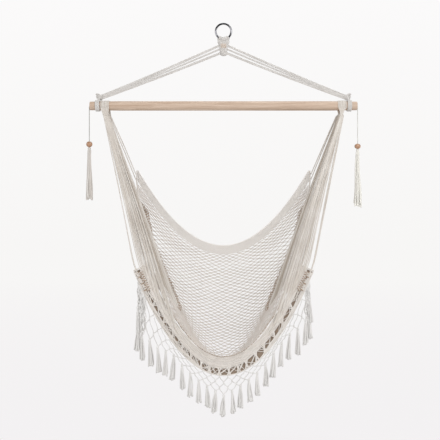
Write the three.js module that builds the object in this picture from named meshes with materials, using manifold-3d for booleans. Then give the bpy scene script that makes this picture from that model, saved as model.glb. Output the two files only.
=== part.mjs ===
// Hammock chair: a cotton net seat that hangs by fans of cords from a wooden spreader bar,
// which hangs by ropes from one steel ring. Lengths are in millimetres and Z points up.
// The origin is the inner top of the ring, where the hook that holds the chair touches it.
// X runs along the bar, and a person in the chair faces -Y.

import * as THREE from 'three';
import { mergeVertices } from 'three/addons/utils/BufferGeometryUtils.js';
import Module from 'manifold-3d';

const wasm = await Module();
wasm.setup();

// Clearance that every piece keeps to its neighbours
const GAP = 0.35;

// Hanging ring
const RING_OUTER_DIAMETER = 65;
const RING_WIRE_DIAMETER = 7;
const RING_STEPS = 28;
const RING_SIDES = 8;

// Rope wound round the bottom of the ring, and the neck where the ropes are gathered under it
const HITCH_ROPE_DIAMETER = 4.4;
const HITCH_TURNS = 6;
const HITCH_ARC_DEGREES = 76;
const NECK_HEIGHT = 51;
const NECK_TOP_WIDTH = 44;
const NECK_MIDDLE_WIDTH = 31;
const NECK_BOTTOM_WIDTH = 22;
const NECK_THICKNESS = 19;
const NECK_SIDES = 12;

// Sections of the neck from its top down. down is the share of its height, and width is the share of the
// neck's width of that level.
const NECK_SECTION_SHARES = [
  { down: 0, of: NECK_TOP_WIDTH, width: 0.9, thickness: 0.8 },
  { down: 0.08, of: NECK_TOP_WIDTH, width: 1, thickness: 1 },
  { down: 0.22, of: NECK_MIDDLE_WIDTH, width: 1, thickness: 1 },
  { down: 0.7, of: NECK_MIDDLE_WIDTH, width: 0.94, thickness: 1 },
  { down: 0.8, of: NECK_BOTTOM_WIDTH, width: 1, thickness: 0.9 },
  { down: 1, of: NECK_BOTTOM_WIDTH, width: 0.8, thickness: 0.75 },
];

// Spreader bar
const BAR_DROP = 304;
const BAR_LENGTH = 1000;
const BAR_DIAMETER = 35;
const BAR_END_DIAMETER = 32;
const BAR_TAPER_LENGTH = 110;
const BAR_END_ROUNDING = 2;
const BAR_HOLE_DIAMETER = 7;
const BAR_HOLE_DEPTH = 14;
const BAR_HOLE_CHAMFER = 1;
const BAR_SIDES = 24;

// Suspension ropes, three on each side, and how the bar hangs in them. Insets are from the bar's ends.
const SUSPENSION_ROPE_DIAMETER = 5.4;
const SUSPENSION_ROPE_SIDES = 8;
const SUSPENSION_ROPE_STEPS = 4;
const SUSPENSION_SEATS = [NECK_MIDDLE_WIDTH, NECK_MIDDLE_WIDTH, NECK_BOTTOM_WIDTH];
const SUSPENSION_TOP_DROP = 14;
const SUSPENSION_PITCH = 14;
const SUSPENSION_SAG = 5;
const SUSPENSION_END_PITCH = 6;
const SUSPENSION_HITCH_INSET = 30;
const SUSPENSION_HITCH_TURNS = 3;
const BAR_ROPE_DIAMETER = 4.4;
const BAR_ROPE_PITCH = 5.1;
const KNOT_INSET = 38;
const KNOT_WIDTH = 26;
const KNOT_THICKNESS = 18;
const KNOT_HEIGHT = 21;
const KNOT_SECTION_SHARES = [[0, 0.7], [0.2, 1], [0.75, 0.95], [1, 0.5]];
const WINDING_STEPS = 12;
const WINDING_SIDES = 6;

// Clews, where the seat's cords are looped over the bar
const CLEW_INSET = 54;
const CLEW_TURNS = 4;
const CLEW_GATHER_HEIGHT = 15;
const CLEW_GATHER_WIDTH = 36;
const CLEW_GATHER_THICKNESS = 50;
const CLEW_GATHER_SHARES = [[0, 0.62], [0.35, 0.8], [1, 1]];
const CLEW_FAN_HEIGHT = 62;
const CLEW_FAN_OFFSET = 10;
const CLEW_ROW_PITCH = 7.5;

// Seat net
const SEAT_REACH = 262;
const SEAT_DROP = 964;
const SEAT_HALF_WIDTH = 330;
const SEAT_TILT_DEGREES = 1;
const NET_THICKNESS = 5;
const NET_COLUMNS = 10;
const NET_ROWS = 8;
const NET_STRAND_SHARE = 0.3;

// Rows of the net from its back edge to its front edge. alongShare is the share of the way between
// them. reachShare, dropShare and widthShare are shares of the three seat sizes, at the middle of
// the row, and endShare is how far from the bar the row's ends lie, of its middle's distance.
const NET_ROW_SHARES = [
  { alongShare: 0, reachShare: 0.786, dropShare: 0.59, widthShare: 1, endShare: 0.496 },
  { alongShare: 0.115, reachShare: 0.802, dropShare: 0.669, widthShare: 0.976, endShare: 0.55 },
  { alongShare: 0.24, reachShare: 0.775, dropShare: 0.757, widthShare: 0.894, endShare: 0.652 },
  { alongShare: 0.373, reachShare: 0.672, dropShare: 0.849, widthShare: 0.758, endShare: 0.716 },
  { alongShare: 0.501, reachShare: 0.489, dropShare: 0.926, widthShare: 0.621, endShare: 0.767 },
  { alongShare: 0.64, reachShare: 0.198, dropShare: 0.975, widthShare: 0.53, endShare: 0.797 },
  { alongShare: 0.787, reachShare: -0.172, dropShare: 0.979, widthShare: 0.53, endShare: 0.793 },
  { alongShare: 0.904, reachShare: -0.55, dropShare: 0.962, widthShare: 0.63, endShare: 0.74 },
  { alongShare: 1, reachShare: -0.859, dropShare: 0.937, widthShare: 0.82, endShare: 0.652 },
];
const BACK_EDGE_SHARES = { reachShare: 0.763, dropShare: 0.553, widthShare: 0.994, endShare: 0.45 };
const FRONT_EDGE_SHARES = { reachShare: -1, dropShare: 1, widthShare: 0.97, endShare: 0.632 };

// Woven bands along the net's back and front edges, and the ropes along its sides
const BACK_BAND_SHARE = 0.054;
const FRONT_BAND_SHARE = 0.105;
const BACK_BAND_SPLITS = 2;
const FRONT_BAND_SPLITS = 3;
const FRONT_BAND_ROW_SHARES = [0, 0.5, 0.85, 1];
const BAND_GAP_SHARE = 2.5;
const NORMAL_STEP_SHARE = 0.01;
const KNOT_MARGIN_SHARE = 1e-9;
const LATTICE_ROW = 1;
const LATTICE_STRAND_SHARE = 0.32;
const SELVEDGE_DIAMETER = 6;
const SELVEDGE_GAP_SHARE = 2;
const SELVEDGE_SIDES = 8;

// Cords from the clews to the sides of the net
const SEAT_CORD_DIAMETER = 3.4;
const SEAT_CORD_SIDES = 8;
const SEAT_CORD_SHARES = [0.01, 0.085, 0.165, 0.255, 0.35, 0.445, 0.54, 0.63, 0.72, 0.81, 0.9, 0.985];

// Knotted fringe along the front edge
const LACE_THICKNESS = 3;
const LACE_COLUMNS = 21;
const LACE_ROWS = 3;
const LACE_STRAND_SHARE = 0.22;
const LACE_EDGE_STRAND_SHARE = 0.31;
const LACE_SPAN_SHARE = 0.95;
const LACE_GAP_SHARE = 3.5;
const LACE_MIDDLE_DROP = 64;
const LACE_SHOULDER_DROP = 22;
const LACE_END_DROP = 120;
const LACE_SHOULDER_SHARE = 0.5;
const FRINGE_TASSEL_LENGTH = 80;
const FRINGE_TASSEL_DIAMETER = 17;
const FRINGE_KNOT_DIAMETER = 9;
const FRINGE_KNOT_SHARES = [[0.33, 0.55], [-0.33, 1], [-1.2, 0.75]];
const FRINGE_SIDES = 6;

// Beaded pendants on the bar's ends, left and right
const PENDANT_CORD_DIAMETER = 3;
const PENDANT_BEND_RADIUS = 6;
const PENDANT_INSET = 4;
const PENDANT_LIFT = 1;
const PENDANT_SIDES = 8;
const PENDANT_STEPS = 32;
const PENDANT_BEND_STEPS = 6;
const PENDANT_FALL_SHARES = [0.25, 0.6, 1];
const PENDANTS = {
  left: { beadDrop: 143.7, beadHeight: 22, tasselEnd: 353, tasselDiameter: 26 },
  right: { beadDrop: 151.2, beadHeight: 19.5, tasselEnd: 380, tasselDiameter: 32 },
};
const BEAD_DIAMETER = 23.4;
const BEAD_BORE_DIAMETER = 4.4;
const BEAD_HOLE_EDGE = 2;
const BEAD_SIDES = 14;
const BEAD_STEPS = 7;
const PENDANT_KNOT_HEIGHT = 11;
const PENDANT_KNOT_DIAMETER = 14;
const PENDANT_KNOT_SHARES = [[0, 0.5], [0.3, 1], [0.7, 1], [1, 0.7]];
const PENDANT_HEAD_DIAMETER = 16;
const PENDANT_HEAD_SHARES = [[0, 0.8], [0.06, 1], [0.45, 0.95]];

const COTTON = { color: 0xddd5ca, roughness: 0.95, metalness: 0 };
const WOOD = { color: 0xdcc3ae, roughness: 0.6, metalness: 0 };
const BEAD_WOOD = { color: 0xc79e80, roughness: 0.5, metalness: 0 };
const STEEL = { color: 0xc9cbce, roughness: 0.12, metalness: 1 };

const chair = new THREE.Group();
const DOWN = new THREE.Vector3(0, 0, -1);
const SIDES = { left: -1, right: 1 };

// Makes an indexed, closed geometry of positions only, with its faces pointing out.
function closed(geometry) {
  geometry.deleteAttribute('normal');
  geometry.deleteAttribute('uv');
  const merged = mergeVertices(geometry);
  const place = merged.getAttribute('position');
  const corners = [new THREE.Vector3(), new THREE.Vector3(), new THREE.Vector3()];
  const kept = [];
  let volume = 0;
  for (let i = 0; i < merged.index.count; i += 3) {
    const face = [0, 1, 2].map((k) => merged.index.getX(i + k));
    if (new Set(face).size < 3) continue;
    face.forEach((id, k) => corners[k].fromBufferAttribute(place, id));
    volume += corners[0].dot(corners[1].clone().cross(corners[2]));
    kept.push(face);
  }
  const faces = volume < 0 ? kept.map(([a, b, c]) => [a, c, b]) : kept;
  merged.setIndex(faces.flat());
  return merged;
}

// Makes a geometry from points and triangles.
function fromTriangles(points, triangles) {
  const geometry = new THREE.BufferGeometry();
  geometry.setAttribute('position', new THREE.Float32BufferAttribute(points.flatMap((p) => p.toArray()), 3));
  geometry.setIndex(triangles.flat());
  return closed(geometry);
}

// Adds a named piece to the chair.
function addPiece(name, geometry, finish) {
  const piece = new THREE.Mesh(geometry, new THREE.MeshStandardMaterial(finish));
  piece.name = name;
  piece.geometry.computeVertexNormals();
  chair.add(piece);
}

// A round section for cords, as a shape.
function roundSection(diameter, sides) {
  const shape = new THREE.Shape();
  for (let i = 0; i < sides; i++) {
    const angle = (2 * Math.PI * i) / sides;
    const point = new THREE.Vector2(Math.cos(angle), Math.sin(angle)).multiplyScalar(diameter / 2);
    if (i === 0) shape.moveTo(point.x, point.y);
    else shape.lineTo(point.x, point.y);
  }
  shape.closePath();
  return shape;
}

// A cord along a curve.
function cord(curve, diameter, sides, steps) {
  const settings = { steps, bevelEnabled: false, extrudePath: curve };
  return closed(new THREE.ExtrudeGeometry(roundSection(diameter, sides), settings));
}

// Rings of points joined into one closed skin, with a flat cap at each end.
function skinOf(rings) {
  const count = rings[0].length;
  const points = rings.flat();
  const triangles = [];
  const first = points.length;
  const centres = [rings[0], rings[rings.length - 1]].map((ring) =>
    ring.reduce((sum, p) => sum.add(p), new THREE.Vector3()).divideScalar(count));
  points.push(...centres);
  for (let i = 0; i < count; i++) {
    const j = (i + 1) % count;
    for (let r = 0; r + 1 < rings.length; r++) {
      const low = r * count;
      const high = low + count;
      triangles.push([low + i, low + j, high + j], [low + i, high + j, high + i]);
    }
    const end = (rings.length - 1) * count;
    triangles.push([first, j, i], [first + 1, end + i, end + j]);
  }
  return fromTriangles(points, triangles);
}

// One unbroken rope that follows points, each ring square to the way between its neighbours.
function rope(points, diameter, sides) {
  let side = new THREE.Vector3();
  const rings = points.map((point, i) => {
    const before = points[Math.max(i - 1, 0)];
    const after = points[Math.min(i + 1, points.length - 1)];
    const tangent = after.clone().sub(before).normalize();
    if (i === 0) side = new THREE.Vector3(tangent.y, tangent.z, tangent.x);
    side.sub(tangent.clone().multiplyScalar(side.dot(tangent))).normalize();
    const up = tangent.clone().cross(side);
    return Array.from({ length: sides }, (_, k) => {
      const angle = (2 * Math.PI * k) / sides;
      const offset = side.clone().multiplyScalar(Math.cos(angle)).addScaledVector(up, Math.sin(angle));
      return point.clone().addScaledVector(offset, diameter / 2);
    });
  });
  return skinOf(rings);
}

// Prints the least gap between the turns of a winding, measured between its points.
function printLeastGap(name, points, diameter, steps) {
  let least = Infinity;
  const segment = new THREE.Line3();
  const nearest = new THREE.Vector3();
  points.forEach((point, i) => {
    for (let j = 0; j + 1 < points.length; j++) {
      if (Math.abs(i - j) < steps / 2) continue;
      segment.set(points[j], points[j + 1]).closestPointToPoint(point, true, nearest);
      least = Math.min(least, nearest.distanceTo(point) - diameter);
    }
  });
  console.log(`${name}: least gap to itself ${least.toFixed(2)} mm`);
}

// The radius that a winding's centreline needs, so that its straight steps clear what it goes round.
function windingRadius(coreDiameter, ropeDiameter) {
  return (coreDiameter / 2 + GAP + ropeDiameter / 2) / Math.cos(Math.PI / WINDING_STEPS);
}

// Oval sections stacked along Z into one closed piece. A section has a centre, a height, a width along X
// and a thickness along Y.
function stack(sections, sides) {
  return skinOf(sections.map(({ x = 0, y = 0, z, width, thickness }) =>
    Array.from({ length: sides }, (_, i) => {
      const angle = (2 * Math.PI * (i + 0.5)) / sides;
      return new THREE.Vector3(x + (Math.cos(angle) * width) / 2, y + (Math.sin(angle) * thickness) / 2, z);
    })));
}

// A sheet with a thickness, made of cells in the plane of u and v. A cell lists its corners and how much of
// it its strands take: 1 fills it, and less leaves a hole of its own outline. place gives the point at u, v
// and a height over the sheet's middle.
function sheet(cells, place, thickness) {
  const points = [];
  const ids = new Map();
  const triangles = [];
  const edges = new Map();
  const id = ([u, v], height) => {
    const key = `${u.toFixed(6)} ${v.toFixed(6)} ${Math.sign(height)}`;
    if (!ids.has(key)) {
      ids.set(key, points.length);
      points.push(place(u, v, height));
    }
    return ids.get(key);
  };
  const top = (corner) => id(corner, thickness / 2);
  const bottom = (corner) => id(corner, -thickness / 2);
  const wall = (a, b) => triangles.push([top(b), top(a), bottom(a)], [top(b), bottom(a), bottom(b)]);
  for (const { corners, strand } of cells) {
    const middle = [0, 1].map((k) => corners.reduce((sum, c) => sum + c[k], 0) / corners.length);
    const inner = corners.map((c) => c.map((value, k) => middle[k] + (value - middle[k]) * (1 - strand)));
    corners.forEach((a, i) => {
      const b = corners[(i + 1) % corners.length];
      const key = [top(a), top(b)].sort((m, n) => m - n).join(' ');
      edges.set(key, edges.has(key) ? null : [a, b]);
      if (strand < 1) {
        const c = inner[(i + 1) % corners.length];
        const d = inner[i];
        triangles.push([top(a), top(b), top(c)], [top(a), top(c), top(d)]);
        triangles.push([bottom(a), bottom(c), bottom(b)], [bottom(a), bottom(d), bottom(c)]);
        wall(c, d);
      } else if (i > 0 && i + 1 < corners.length) {
        triangles.push([top(corners[0]), top(a), top(b)]);
        triangles.push([bottom(corners[0]), bottom(b), bottom(a)]);
      }
    });
  }
  for (const edge of edges.values()) {
    if (edge) wall(edge[0], edge[1]);
  }
  return fromTriangles(points, triangles);
}

// Staggered diamonds over a square of 1 by 1. Cut diamonds at the borders take the share that borderStrand
// gives for their row, and none are made where it gives null.
function diamondCells(columns, rows, strand, borderStrand) {
  const cells = [];
  for (let j = 0; j <= rows; j++) {
    for (let i = 0; i <= 2 * columns; i++) {
      if ((i + j) % 2 === 0) continue;
      const around = [[i + 1, j], [i, j + 1], [i - 1, j], [i, j - 1]];
      const inside = around.filter(([a, b]) => a >= 0 && a <= 2 * columns && b >= 0 && b <= rows);
      const share = inside.length === 4 ? strand : borderStrand(j);
      if (share === null) continue;
      const corners = inside.map(([a, b]) => [a / (2 * columns), b / rows]);
      cells.push({ corners, strand: share });
    }
  }
  return cells;
}

const BAR_Z = -BAR_DROP;
const SUSPENSION_HITCH_REACH = BAR_LENGTH / 2 - SUSPENSION_HITCH_INSET;
const KNOT_REACH = BAR_LENGTH / 2 - KNOT_INSET;
const CLEW_REACH = BAR_LENGTH / 2 - CLEW_INSET;
const RING_RADIUS = (RING_OUTER_DIAMETER - RING_WIRE_DIAMETER) / 2;
const RING_CENTRE_Z = RING_WIRE_DIAMETER / 2 - RING_RADIUS;
const TILT = THREE.MathUtils.degToRad(SEAT_TILT_DEGREES);

// The bar's radius at a distance from its middle.
function barRadius(distance) {
  const taperStart = BAR_LENGTH / 2 - BAR_TAPER_LENGTH;
  const share = THREE.MathUtils.clamp((distance - taperStart) / BAR_TAPER_LENGTH, 0, 1);
  return THREE.MathUtils.lerp(BAR_DIAMETER, BAR_END_DIAMETER, share) / 2;
}

// A row of the net at a share of the way from its back edge to its front edge, as a smooth curve through the
// table's rows.
function netRow(along) {
  const rows = NET_ROW_SHARES;
  let k = 0;
  while (k < rows.length - 2 && along > rows[k + 1].alongShare) k++;
  const span = rows[k + 1].alongShare - rows[k].alongShare;
  const t = (along - rows[k].alongShare) / span;
  const value = (key) => {
    const slope = (i) => {
      const low = rows[Math.max(i - 1, 0)];
      const high = rows[Math.min(i + 1, rows.length - 1)];
      return (high[key] - low[key]) / (high.alongShare - low.alongShare);
    };
    const [a, b] = [rows[k][key], rows[k + 1][key]];
    const [ta, tb] = [slope(k) * span, slope(k + 1) * span];
    return a + t * (ta + t * (3 * (b - a) - 2 * ta - tb + t * (2 * (a - b) + ta + tb)));
  };
  return {
    reachShare: value('reachShare'),
    dropShare: value('dropShare'),
    widthShare: value('widthShare'),
    endShare: value('endShare'),
  };
}

// A point of a row, from -1 at its left end to 1 at its right end. A row lies in a plane through the bar's
// axis and is a parabola there.
function rowPoint(row, side) {
  const reach = row.reachShare * SEAT_REACH;
  const drop = row.dropShare * SEAT_DROP;
  const depth = 1 - (1 - row.endShare) * side * side;
  const point = new THREE.Vector3(side * row.widthShare * SEAT_HALF_WIDTH, reach * depth, -drop * depth);
  point.applyAxisAngle(new THREE.Vector3(1, 0, 0), TILT);
  point.z += BAR_Z;
  return point;
}

// The seat's whole surface. u runs from the left side to the right side, and v from the back edge over the
// net, where it goes from 0 to 1, to the front edge.
function seatPoint(u, v) {
  const side = 2 * u - 1;
  const point = rowPoint(netRow(THREE.MathUtils.clamp(v, 0, 1)), side);
  if (v < 0) point.lerp(rowPoint(BACK_EDGE_SHARES, side), -v / BACK_BAND_SHARE);
  if (v > 1) point.lerp(rowPoint(FRONT_EDGE_SHARES, side), (v - 1) / FRONT_BAND_SHARE);
  return point;
}

// The surface's normal. Where a band folds away from the net it lies midway between their own.
function seatNormal(u, v) {
  const across = seatPoint(u + NORMAL_STEP_SHARE, v).sub(seatPoint(u - NORMAL_STEP_SHARE, v));
  const along = seatPoint(u, v + NORMAL_STEP_SHARE).sub(seatPoint(u, v - NORMAL_STEP_SHARE));
  return across.cross(along).normalize();
}

const seatPlace = (u, v, height) => seatPoint(u, v).addScaledVector(seatNormal(u, v), height);

// A place of a band. Its inner border follows the net's, which runs straight from knot to knot, and the whole
// band keeps clear of the net.
function bandPlace(u, v, height, border) {
  const outward = seatPoint(u, border + (border > 0 ? 1 : -1) * BACK_BAND_SHARE).sub(seatPoint(u, border));
  const shift = outward.normalize().multiplyScalar(GAP * BAND_GAP_SHARE);
  if (v !== border) return seatPlace(u, v, height).add(shift);
  const column = THREE.MathUtils.clamp(Math.floor(u * NET_COLUMNS + KNOT_MARGIN_SHARE), 0, NET_COLUMNS - 1);
  const left = seatPlace(column / NET_COLUMNS, v, height);
  const right = seatPlace((column + 1) / NET_COLUMNS, v, height);
  return left.lerp(right, u * NET_COLUMNS - column).add(shift);
}

// Square cells in columns and in rows between the given shares.
function gridCells(columns, rowShares, strandAt) {
  const cells = [];
  for (let j = 0; j + 1 < rowShares.length; j++) {
    for (let i = 0; i < columns; i++) {
      const [left, right] = [i / columns, (i + 1) / columns];
      const [low, high] = [rowShares[j], rowShares[j + 1]];
      const corners = [[left, low], [right, low], [right, high], [left, high]];
      cells.push({ corners, strand: strandAt(i, j) });
    }
  }
  return cells;
}

// The side of the seat, from the back corner down the net and out to the front corner. The rope along it lies
// just off the sheets' ends and runs straight from knot to knot of the net.
function sidePoints(sign) {
  const end = (1 + sign) / 2;
  const shares = [-BACK_BAND_SHARE];
  for (let row = 0; row <= NET_ROWS; row++) {
    shares.push(row / NET_ROWS);
  }
  shares.push(1 + FRONT_BAND_SHARE);
  const edge = shares.map((v) => seatPoint(end, v));
  return edge.map((point, i) => {
    const before = edge[Math.max(i - 1, 0)];
    const after = edge[Math.min(i + 1, edge.length - 1)];
    const ahead = after.clone().sub(i + 1 < edge.length ? point : before).normalize();
    const tangent = after.clone().sub(before).normalize();
    const outward = tangent.clone().cross(seatNormal(end, shares[i])).multiplyScalar(sign).normalize();
    const distance = (SELVEDGE_DIAMETER / 2 + GAP * SELVEDGE_GAP_SHARE) / tangent.dot(ahead);
    return point.clone().addScaledVector(outward, distance);
  });
}

// The same side as a curve of straight parts.
function sideCurve(sign) {
  const points = sidePoints(sign);
  const curve = new THREE.CurvePath();
  for (let i = 0; i + 1 < points.length; i++) {
    curve.add(new THREE.LineCurve3(points[i], points[i + 1]));
  }
  return curve;
}

// The steel ring that the hook goes through.
function addRing() {
  const torus = new THREE.TorusGeometry(RING_RADIUS, RING_WIRE_DIAMETER / 2, RING_SIDES, RING_STEPS);
  torus.rotateX(Math.PI / 2);
  torus.translate(0, 0, RING_CENTRE_Z);
  addPiece('hanging_ring', closed(torus), STEEL);
}

// The ropes' winding round the bottom of the ring.
function addRingHitch() {
  const radius = windingRadius(RING_WIRE_DIAMETER, HITCH_ROPE_DIAMETER);
  const arc = THREE.MathUtils.degToRad(HITCH_ARC_DEGREES);
  const steps = HITCH_TURNS * WINDING_STEPS;
  const points = Array.from({ length: steps + 1 }, (_, i) => {
    const angle = (i / steps - 0.5) * arc;
    const turn = (2 * Math.PI * i) / WINDING_STEPS;
    const out = RING_RADIUS + radius * Math.cos(turn);
    const z = RING_CENTRE_Z - out * Math.cos(angle);
    return new THREE.Vector3(out * Math.sin(angle), radius * Math.sin(turn), z);
  });
  printLeastGap('ring_hitch', points, HITCH_ROPE_DIAMETER, WINDING_STEPS);
  addPiece('ring_hitch', rope(points, HITCH_ROPE_DIAMETER, WINDING_SIDES), COTTON);
  return RING_RADIUS + radius + HITCH_ROPE_DIAMETER / 2;
}

// The neck under the ring. Its flat top clears the winding as the chair swings.
function addNeck(hitchReach) {
  const top = RING_CENTRE_Z - hitchReach - GAP;
  const sections = NECK_SECTION_SHARES.map(({ down, of, width, thickness }) => ({
    z: top - down * NECK_HEIGHT,
    width: of * width,
    thickness: NECK_THICKNESS * thickness,
  }));
  addPiece('neck_gather', stack(sections, NECK_SIDES), COTTON);
  return top;
}

// The wooden bar, with a blind hole in each end for a pendant's cord.
function addBar() {
  const half = BAR_LENGTH / 2;
  const hole = BAR_HOLE_DIAMETER / 2;
  const end = BAR_END_DIAMETER / 2;
  const quarter = [
    [0, half - BAR_HOLE_DEPTH],
    [hole, half - BAR_HOLE_DEPTH],
    [hole, half - BAR_HOLE_CHAMFER],
    [hole + BAR_HOLE_CHAMFER, half],
    [end - BAR_END_ROUNDING, half],
    [end, half - BAR_END_ROUNDING],
    [BAR_DIAMETER / 2, half - BAR_TAPER_LENGTH],
  ];
  const mirrored = quarter.map(([r, x]) => [r, -x]).reverse();
  const profile = [...quarter, ...mirrored].map(([r, x]) => new THREE.Vector2(r, x));
  const bar = new THREE.LatheGeometry(profile, BAR_SIDES);
  bar.rotateZ(-Math.PI / 2);
  bar.translate(0, 0, BAR_Z);
  addPiece('spreader_bar', closed(bar), WOOD);
}

// A rope wound round the bar, with its middle at a distance from the bar's middle.
function addBarWinding(name, sign, middle, turns) {
  const width = turns * BAR_ROPE_PITCH;
  const core = barRadius(middle - width / 2 - BAR_ROPE_DIAMETER / 2) * 2;
  const radius = windingRadius(core, BAR_ROPE_DIAMETER);
  const steps = turns * WINDING_STEPS;
  const points = Array.from({ length: steps + 1 }, (_, i) => {
    const turn = (2 * Math.PI * i) / WINDING_STEPS;
    const x = sign * (middle + (i / steps - 0.5) * width);
    return new THREE.Vector3(x, radius * Math.sin(turn), BAR_Z + radius * Math.cos(turn));
  });
  printLeastGap(name, points, BAR_ROPE_DIAMETER, WINDING_STEPS);
  addPiece(name, rope(points, BAR_ROPE_DIAMETER, WINDING_SIDES), COTTON);
  return radius + BAR_ROPE_DIAMETER / 2;
}

// The knot on top of the bar, where three ropes meet the winding.
function addSuspensionKnot(name, sign, windingReach) {
  const low = BAR_Z + windingReach + GAP;
  const x = sign * KNOT_REACH;
  const sections = KNOT_SECTION_SHARES.map(([rise, share]) => ({
    x,
    z: low + rise * KNOT_HEIGHT,
    width: KNOT_WIDTH * share,
    thickness: KNOT_THICKNESS * share,
  }));
  addPiece(name, stack(sections, NECK_SIDES), COTTON);
  return low;
}

// A suspension rope from the neck down to the knot, with a slight sag.
function addSuspensionCord(name, sign, row, neckTop, knotLow) {
  const radius = SUSPENSION_ROPE_DIAMETER / 2;
  const flat = Math.cos(Math.PI / NECK_SIDES);
  const start = new THREE.Vector3(
    sign * ((SUSPENSION_SEATS[row] / 2) * flat + radius / 2 + GAP),
    0,
    neckTop - SUSPENSION_TOP_DROP - row * SUSPENSION_PITCH,
  );
  const knotSide = KNOT_REACH - (KNOT_WIDTH / 2) * flat - radius / 2 - GAP;
  const end = new THREE.Vector3(
    sign * knotSide,
    0,
    knotLow + KNOT_HEIGHT / 2 + (1 - row) * SUSPENSION_END_PITCH,
  );
  const middle = start.clone().lerp(end, 0.5);
  middle.z -= SUSPENSION_SAG;
  const curve = new THREE.QuadraticBezierCurve3(start, middle, end);
  const geometry = cord(curve, SUSPENSION_ROPE_DIAMETER, SUSPENSION_ROPE_SIDES, SUSPENSION_ROPE_STEPS);
  addPiece(name, geometry, COTTON);
}

// The cords' gathering under the bar. It is wide enough for the fan of cords that leaves it.
function addClewGather(name, sign, windingReach) {
  const top = BAR_Z - windingReach - GAP;
  const centre = clewFanCentre(sign);
  const sections = CLEW_GATHER_SHARES.map(([down, share]) => ({
    x: THREE.MathUtils.lerp(sign * CLEW_REACH, centre.x, down),
    y: THREE.MathUtils.lerp(0, centre.y, down),
    z: top - down * CLEW_GATHER_HEIGHT,
    width: CLEW_GATHER_WIDTH * share,
    thickness: CLEW_GATHER_THICKNESS * share,
  }));
  addPiece(name, stack(sections, NECK_SIDES), COTTON);
  return top - CLEW_GATHER_HEIGHT;
}

// The point over the bar from which the seat cords fan out.
function clewFanTop(sign) {
  const z = BAR_Z + CLEW_FAN_HEIGHT - CLEW_GATHER_HEIGHT - barRadius(CLEW_REACH) - BAR_ROPE_DIAMETER;
  return new THREE.Vector3(sign * (CLEW_REACH + CLEW_FAN_OFFSET), 0, z);
}

// Where the middle of the fan passes the gathering's bottom.
function clewFanCentre(sign) {
  const curve = sideCurve(sign);
  const top = clewFanTop(sign);
  const ways = SEAT_CORD_SHARES.map((share) => curve.getPointAt(share).sub(top));
  const slopes = ways.map((way) => way.divideScalar(-way.z));
  const low = slopes[0].clone();
  const high = slopes[0].clone();
  slopes.forEach((slope) => {
    low.min(slope);
    high.max(slope);
  });
  return top.add(low.add(high).multiplyScalar(CLEW_FAN_HEIGHT / 2));
}

// A seat cord from the clew's gathering to the rope along the seat's side. The cords leave it in two rows.
function addSeatCord(name, sign, share, row, gatherLow) {
  const side = sideCurve(sign);
  const radius = SEAT_CORD_DIAMETER / 2;
  const top = clewFanTop(sign);
  top.x += sign * (row - 0.5) * CLEW_ROW_PITCH;
  const target = side.getPointAt(share);
  const way = target.clone().sub(top).normalize();
  const lean = Math.hypot(way.x, way.y);
  const startDrop = (top.z - gatherLow + GAP + radius * lean) / -way.z;
  const along = Math.abs(side.getTangentAt(share).dot(way));
  const square = Math.sqrt(1 - along * along);
  const endShort = (SELVEDGE_DIAMETER / 2 + GAP + radius * along) / square;
  const start = top.clone().add(way.clone().multiplyScalar(startDrop));
  const end = target.sub(way.multiplyScalar(endShort));
  addPiece(name, cord(new THREE.LineCurve3(start, end), SEAT_CORD_DIAMETER, SEAT_CORD_SIDES, 1), COTTON);
}

// The net, the woven bands along its back and front edges and the ropes along its sides.
function addSeat() {
  const net = diamondCells(NET_COLUMNS, 2 * NET_ROWS, NET_STRAND_SHARE, () => 1);
  addPiece('seat_net', sheet(net, seatPlace, NET_THICKNESS), COTTON);
  const back = gridCells(NET_COLUMNS * BACK_BAND_SPLITS, [-BACK_BAND_SHARE, 0], () => 1);
  const backPlace = (u, v, height) => bandPlace(u, v, height, 0);
  addPiece('back_edge_band', sheet(back, backPlace, NET_THICKNESS), COTTON);
  const lattice = (i, j) => (j === LATTICE_ROW && i % 2 === 1 ? LATTICE_STRAND_SHARE : 1);
  const rows = FRONT_BAND_ROW_SHARES.map((share) => 1 + share * FRONT_BAND_SHARE);
  const front = gridCells(NET_COLUMNS * FRONT_BAND_SPLITS, rows, lattice);
  const frontPlace = (u, v, height) => bandPlace(u, v, height, 1);
  addPiece('front_edge_band', sheet(front, frontPlace, NET_THICKNESS), COTTON);
  for (const [side, sign] of Object.entries(SIDES)) {
    addPiece(`selvedge_${side}`, rope(sidePoints(sign), SELVEDGE_DIAMETER, SELVEDGE_SIDES), COTTON);
  }
}

// How far the lace hangs at a share of the way from the middle to either end.
function laceDrop(share) {
  if (share < LACE_SHOULDER_SHARE) {
    return THREE.MathUtils.lerp(LACE_MIDDLE_DROP, LACE_SHOULDER_DROP, share / LACE_SHOULDER_SHARE);
  }
  const out = (share - LACE_SHOULDER_SHARE) / (1 - LACE_SHOULDER_SHARE);
  return THREE.MathUtils.lerp(LACE_SHOULDER_DROP, LACE_END_DROP, out);
}

// The lace hangs straight down from the front band's outer edge.
function lacePoint(u, v) {
  const across = 0.5 + (u - 0.5) * LACE_SPAN_SHARE;
  const edge = seatPoint(across, 1 + FRONT_BAND_SHARE);
  const width = edge.clone().sub(seatPoint(across, 1)).normalize();
  const point = edge.add(width.multiplyScalar(GAP * LACE_GAP_SHARE + LACE_THICKNESS / 2));
  return point.addScaledVector(DOWN, v * laceDrop(Math.abs(2 * u - 1)));
}

function toManifold(geometry) {
  const vertProperties = Float32Array.from(geometry.getAttribute('position').array);
  const triVerts = Uint32Array.from(geometry.index.array);
  return new wasm.Manifold(new wasm.Mesh({ numProp: 3, vertProperties, triVerts }));
}

function fromManifold(solid) {
  const { vertProperties, triVerts } = solid.getMesh();
  const geometry = new THREE.BufferGeometry();
  geometry.setAttribute('position', new THREE.Float32BufferAttribute(vertProperties, 3));
  geometry.setIndex(Array.from(triVerts));
  return closed(geometry);
}

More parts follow.
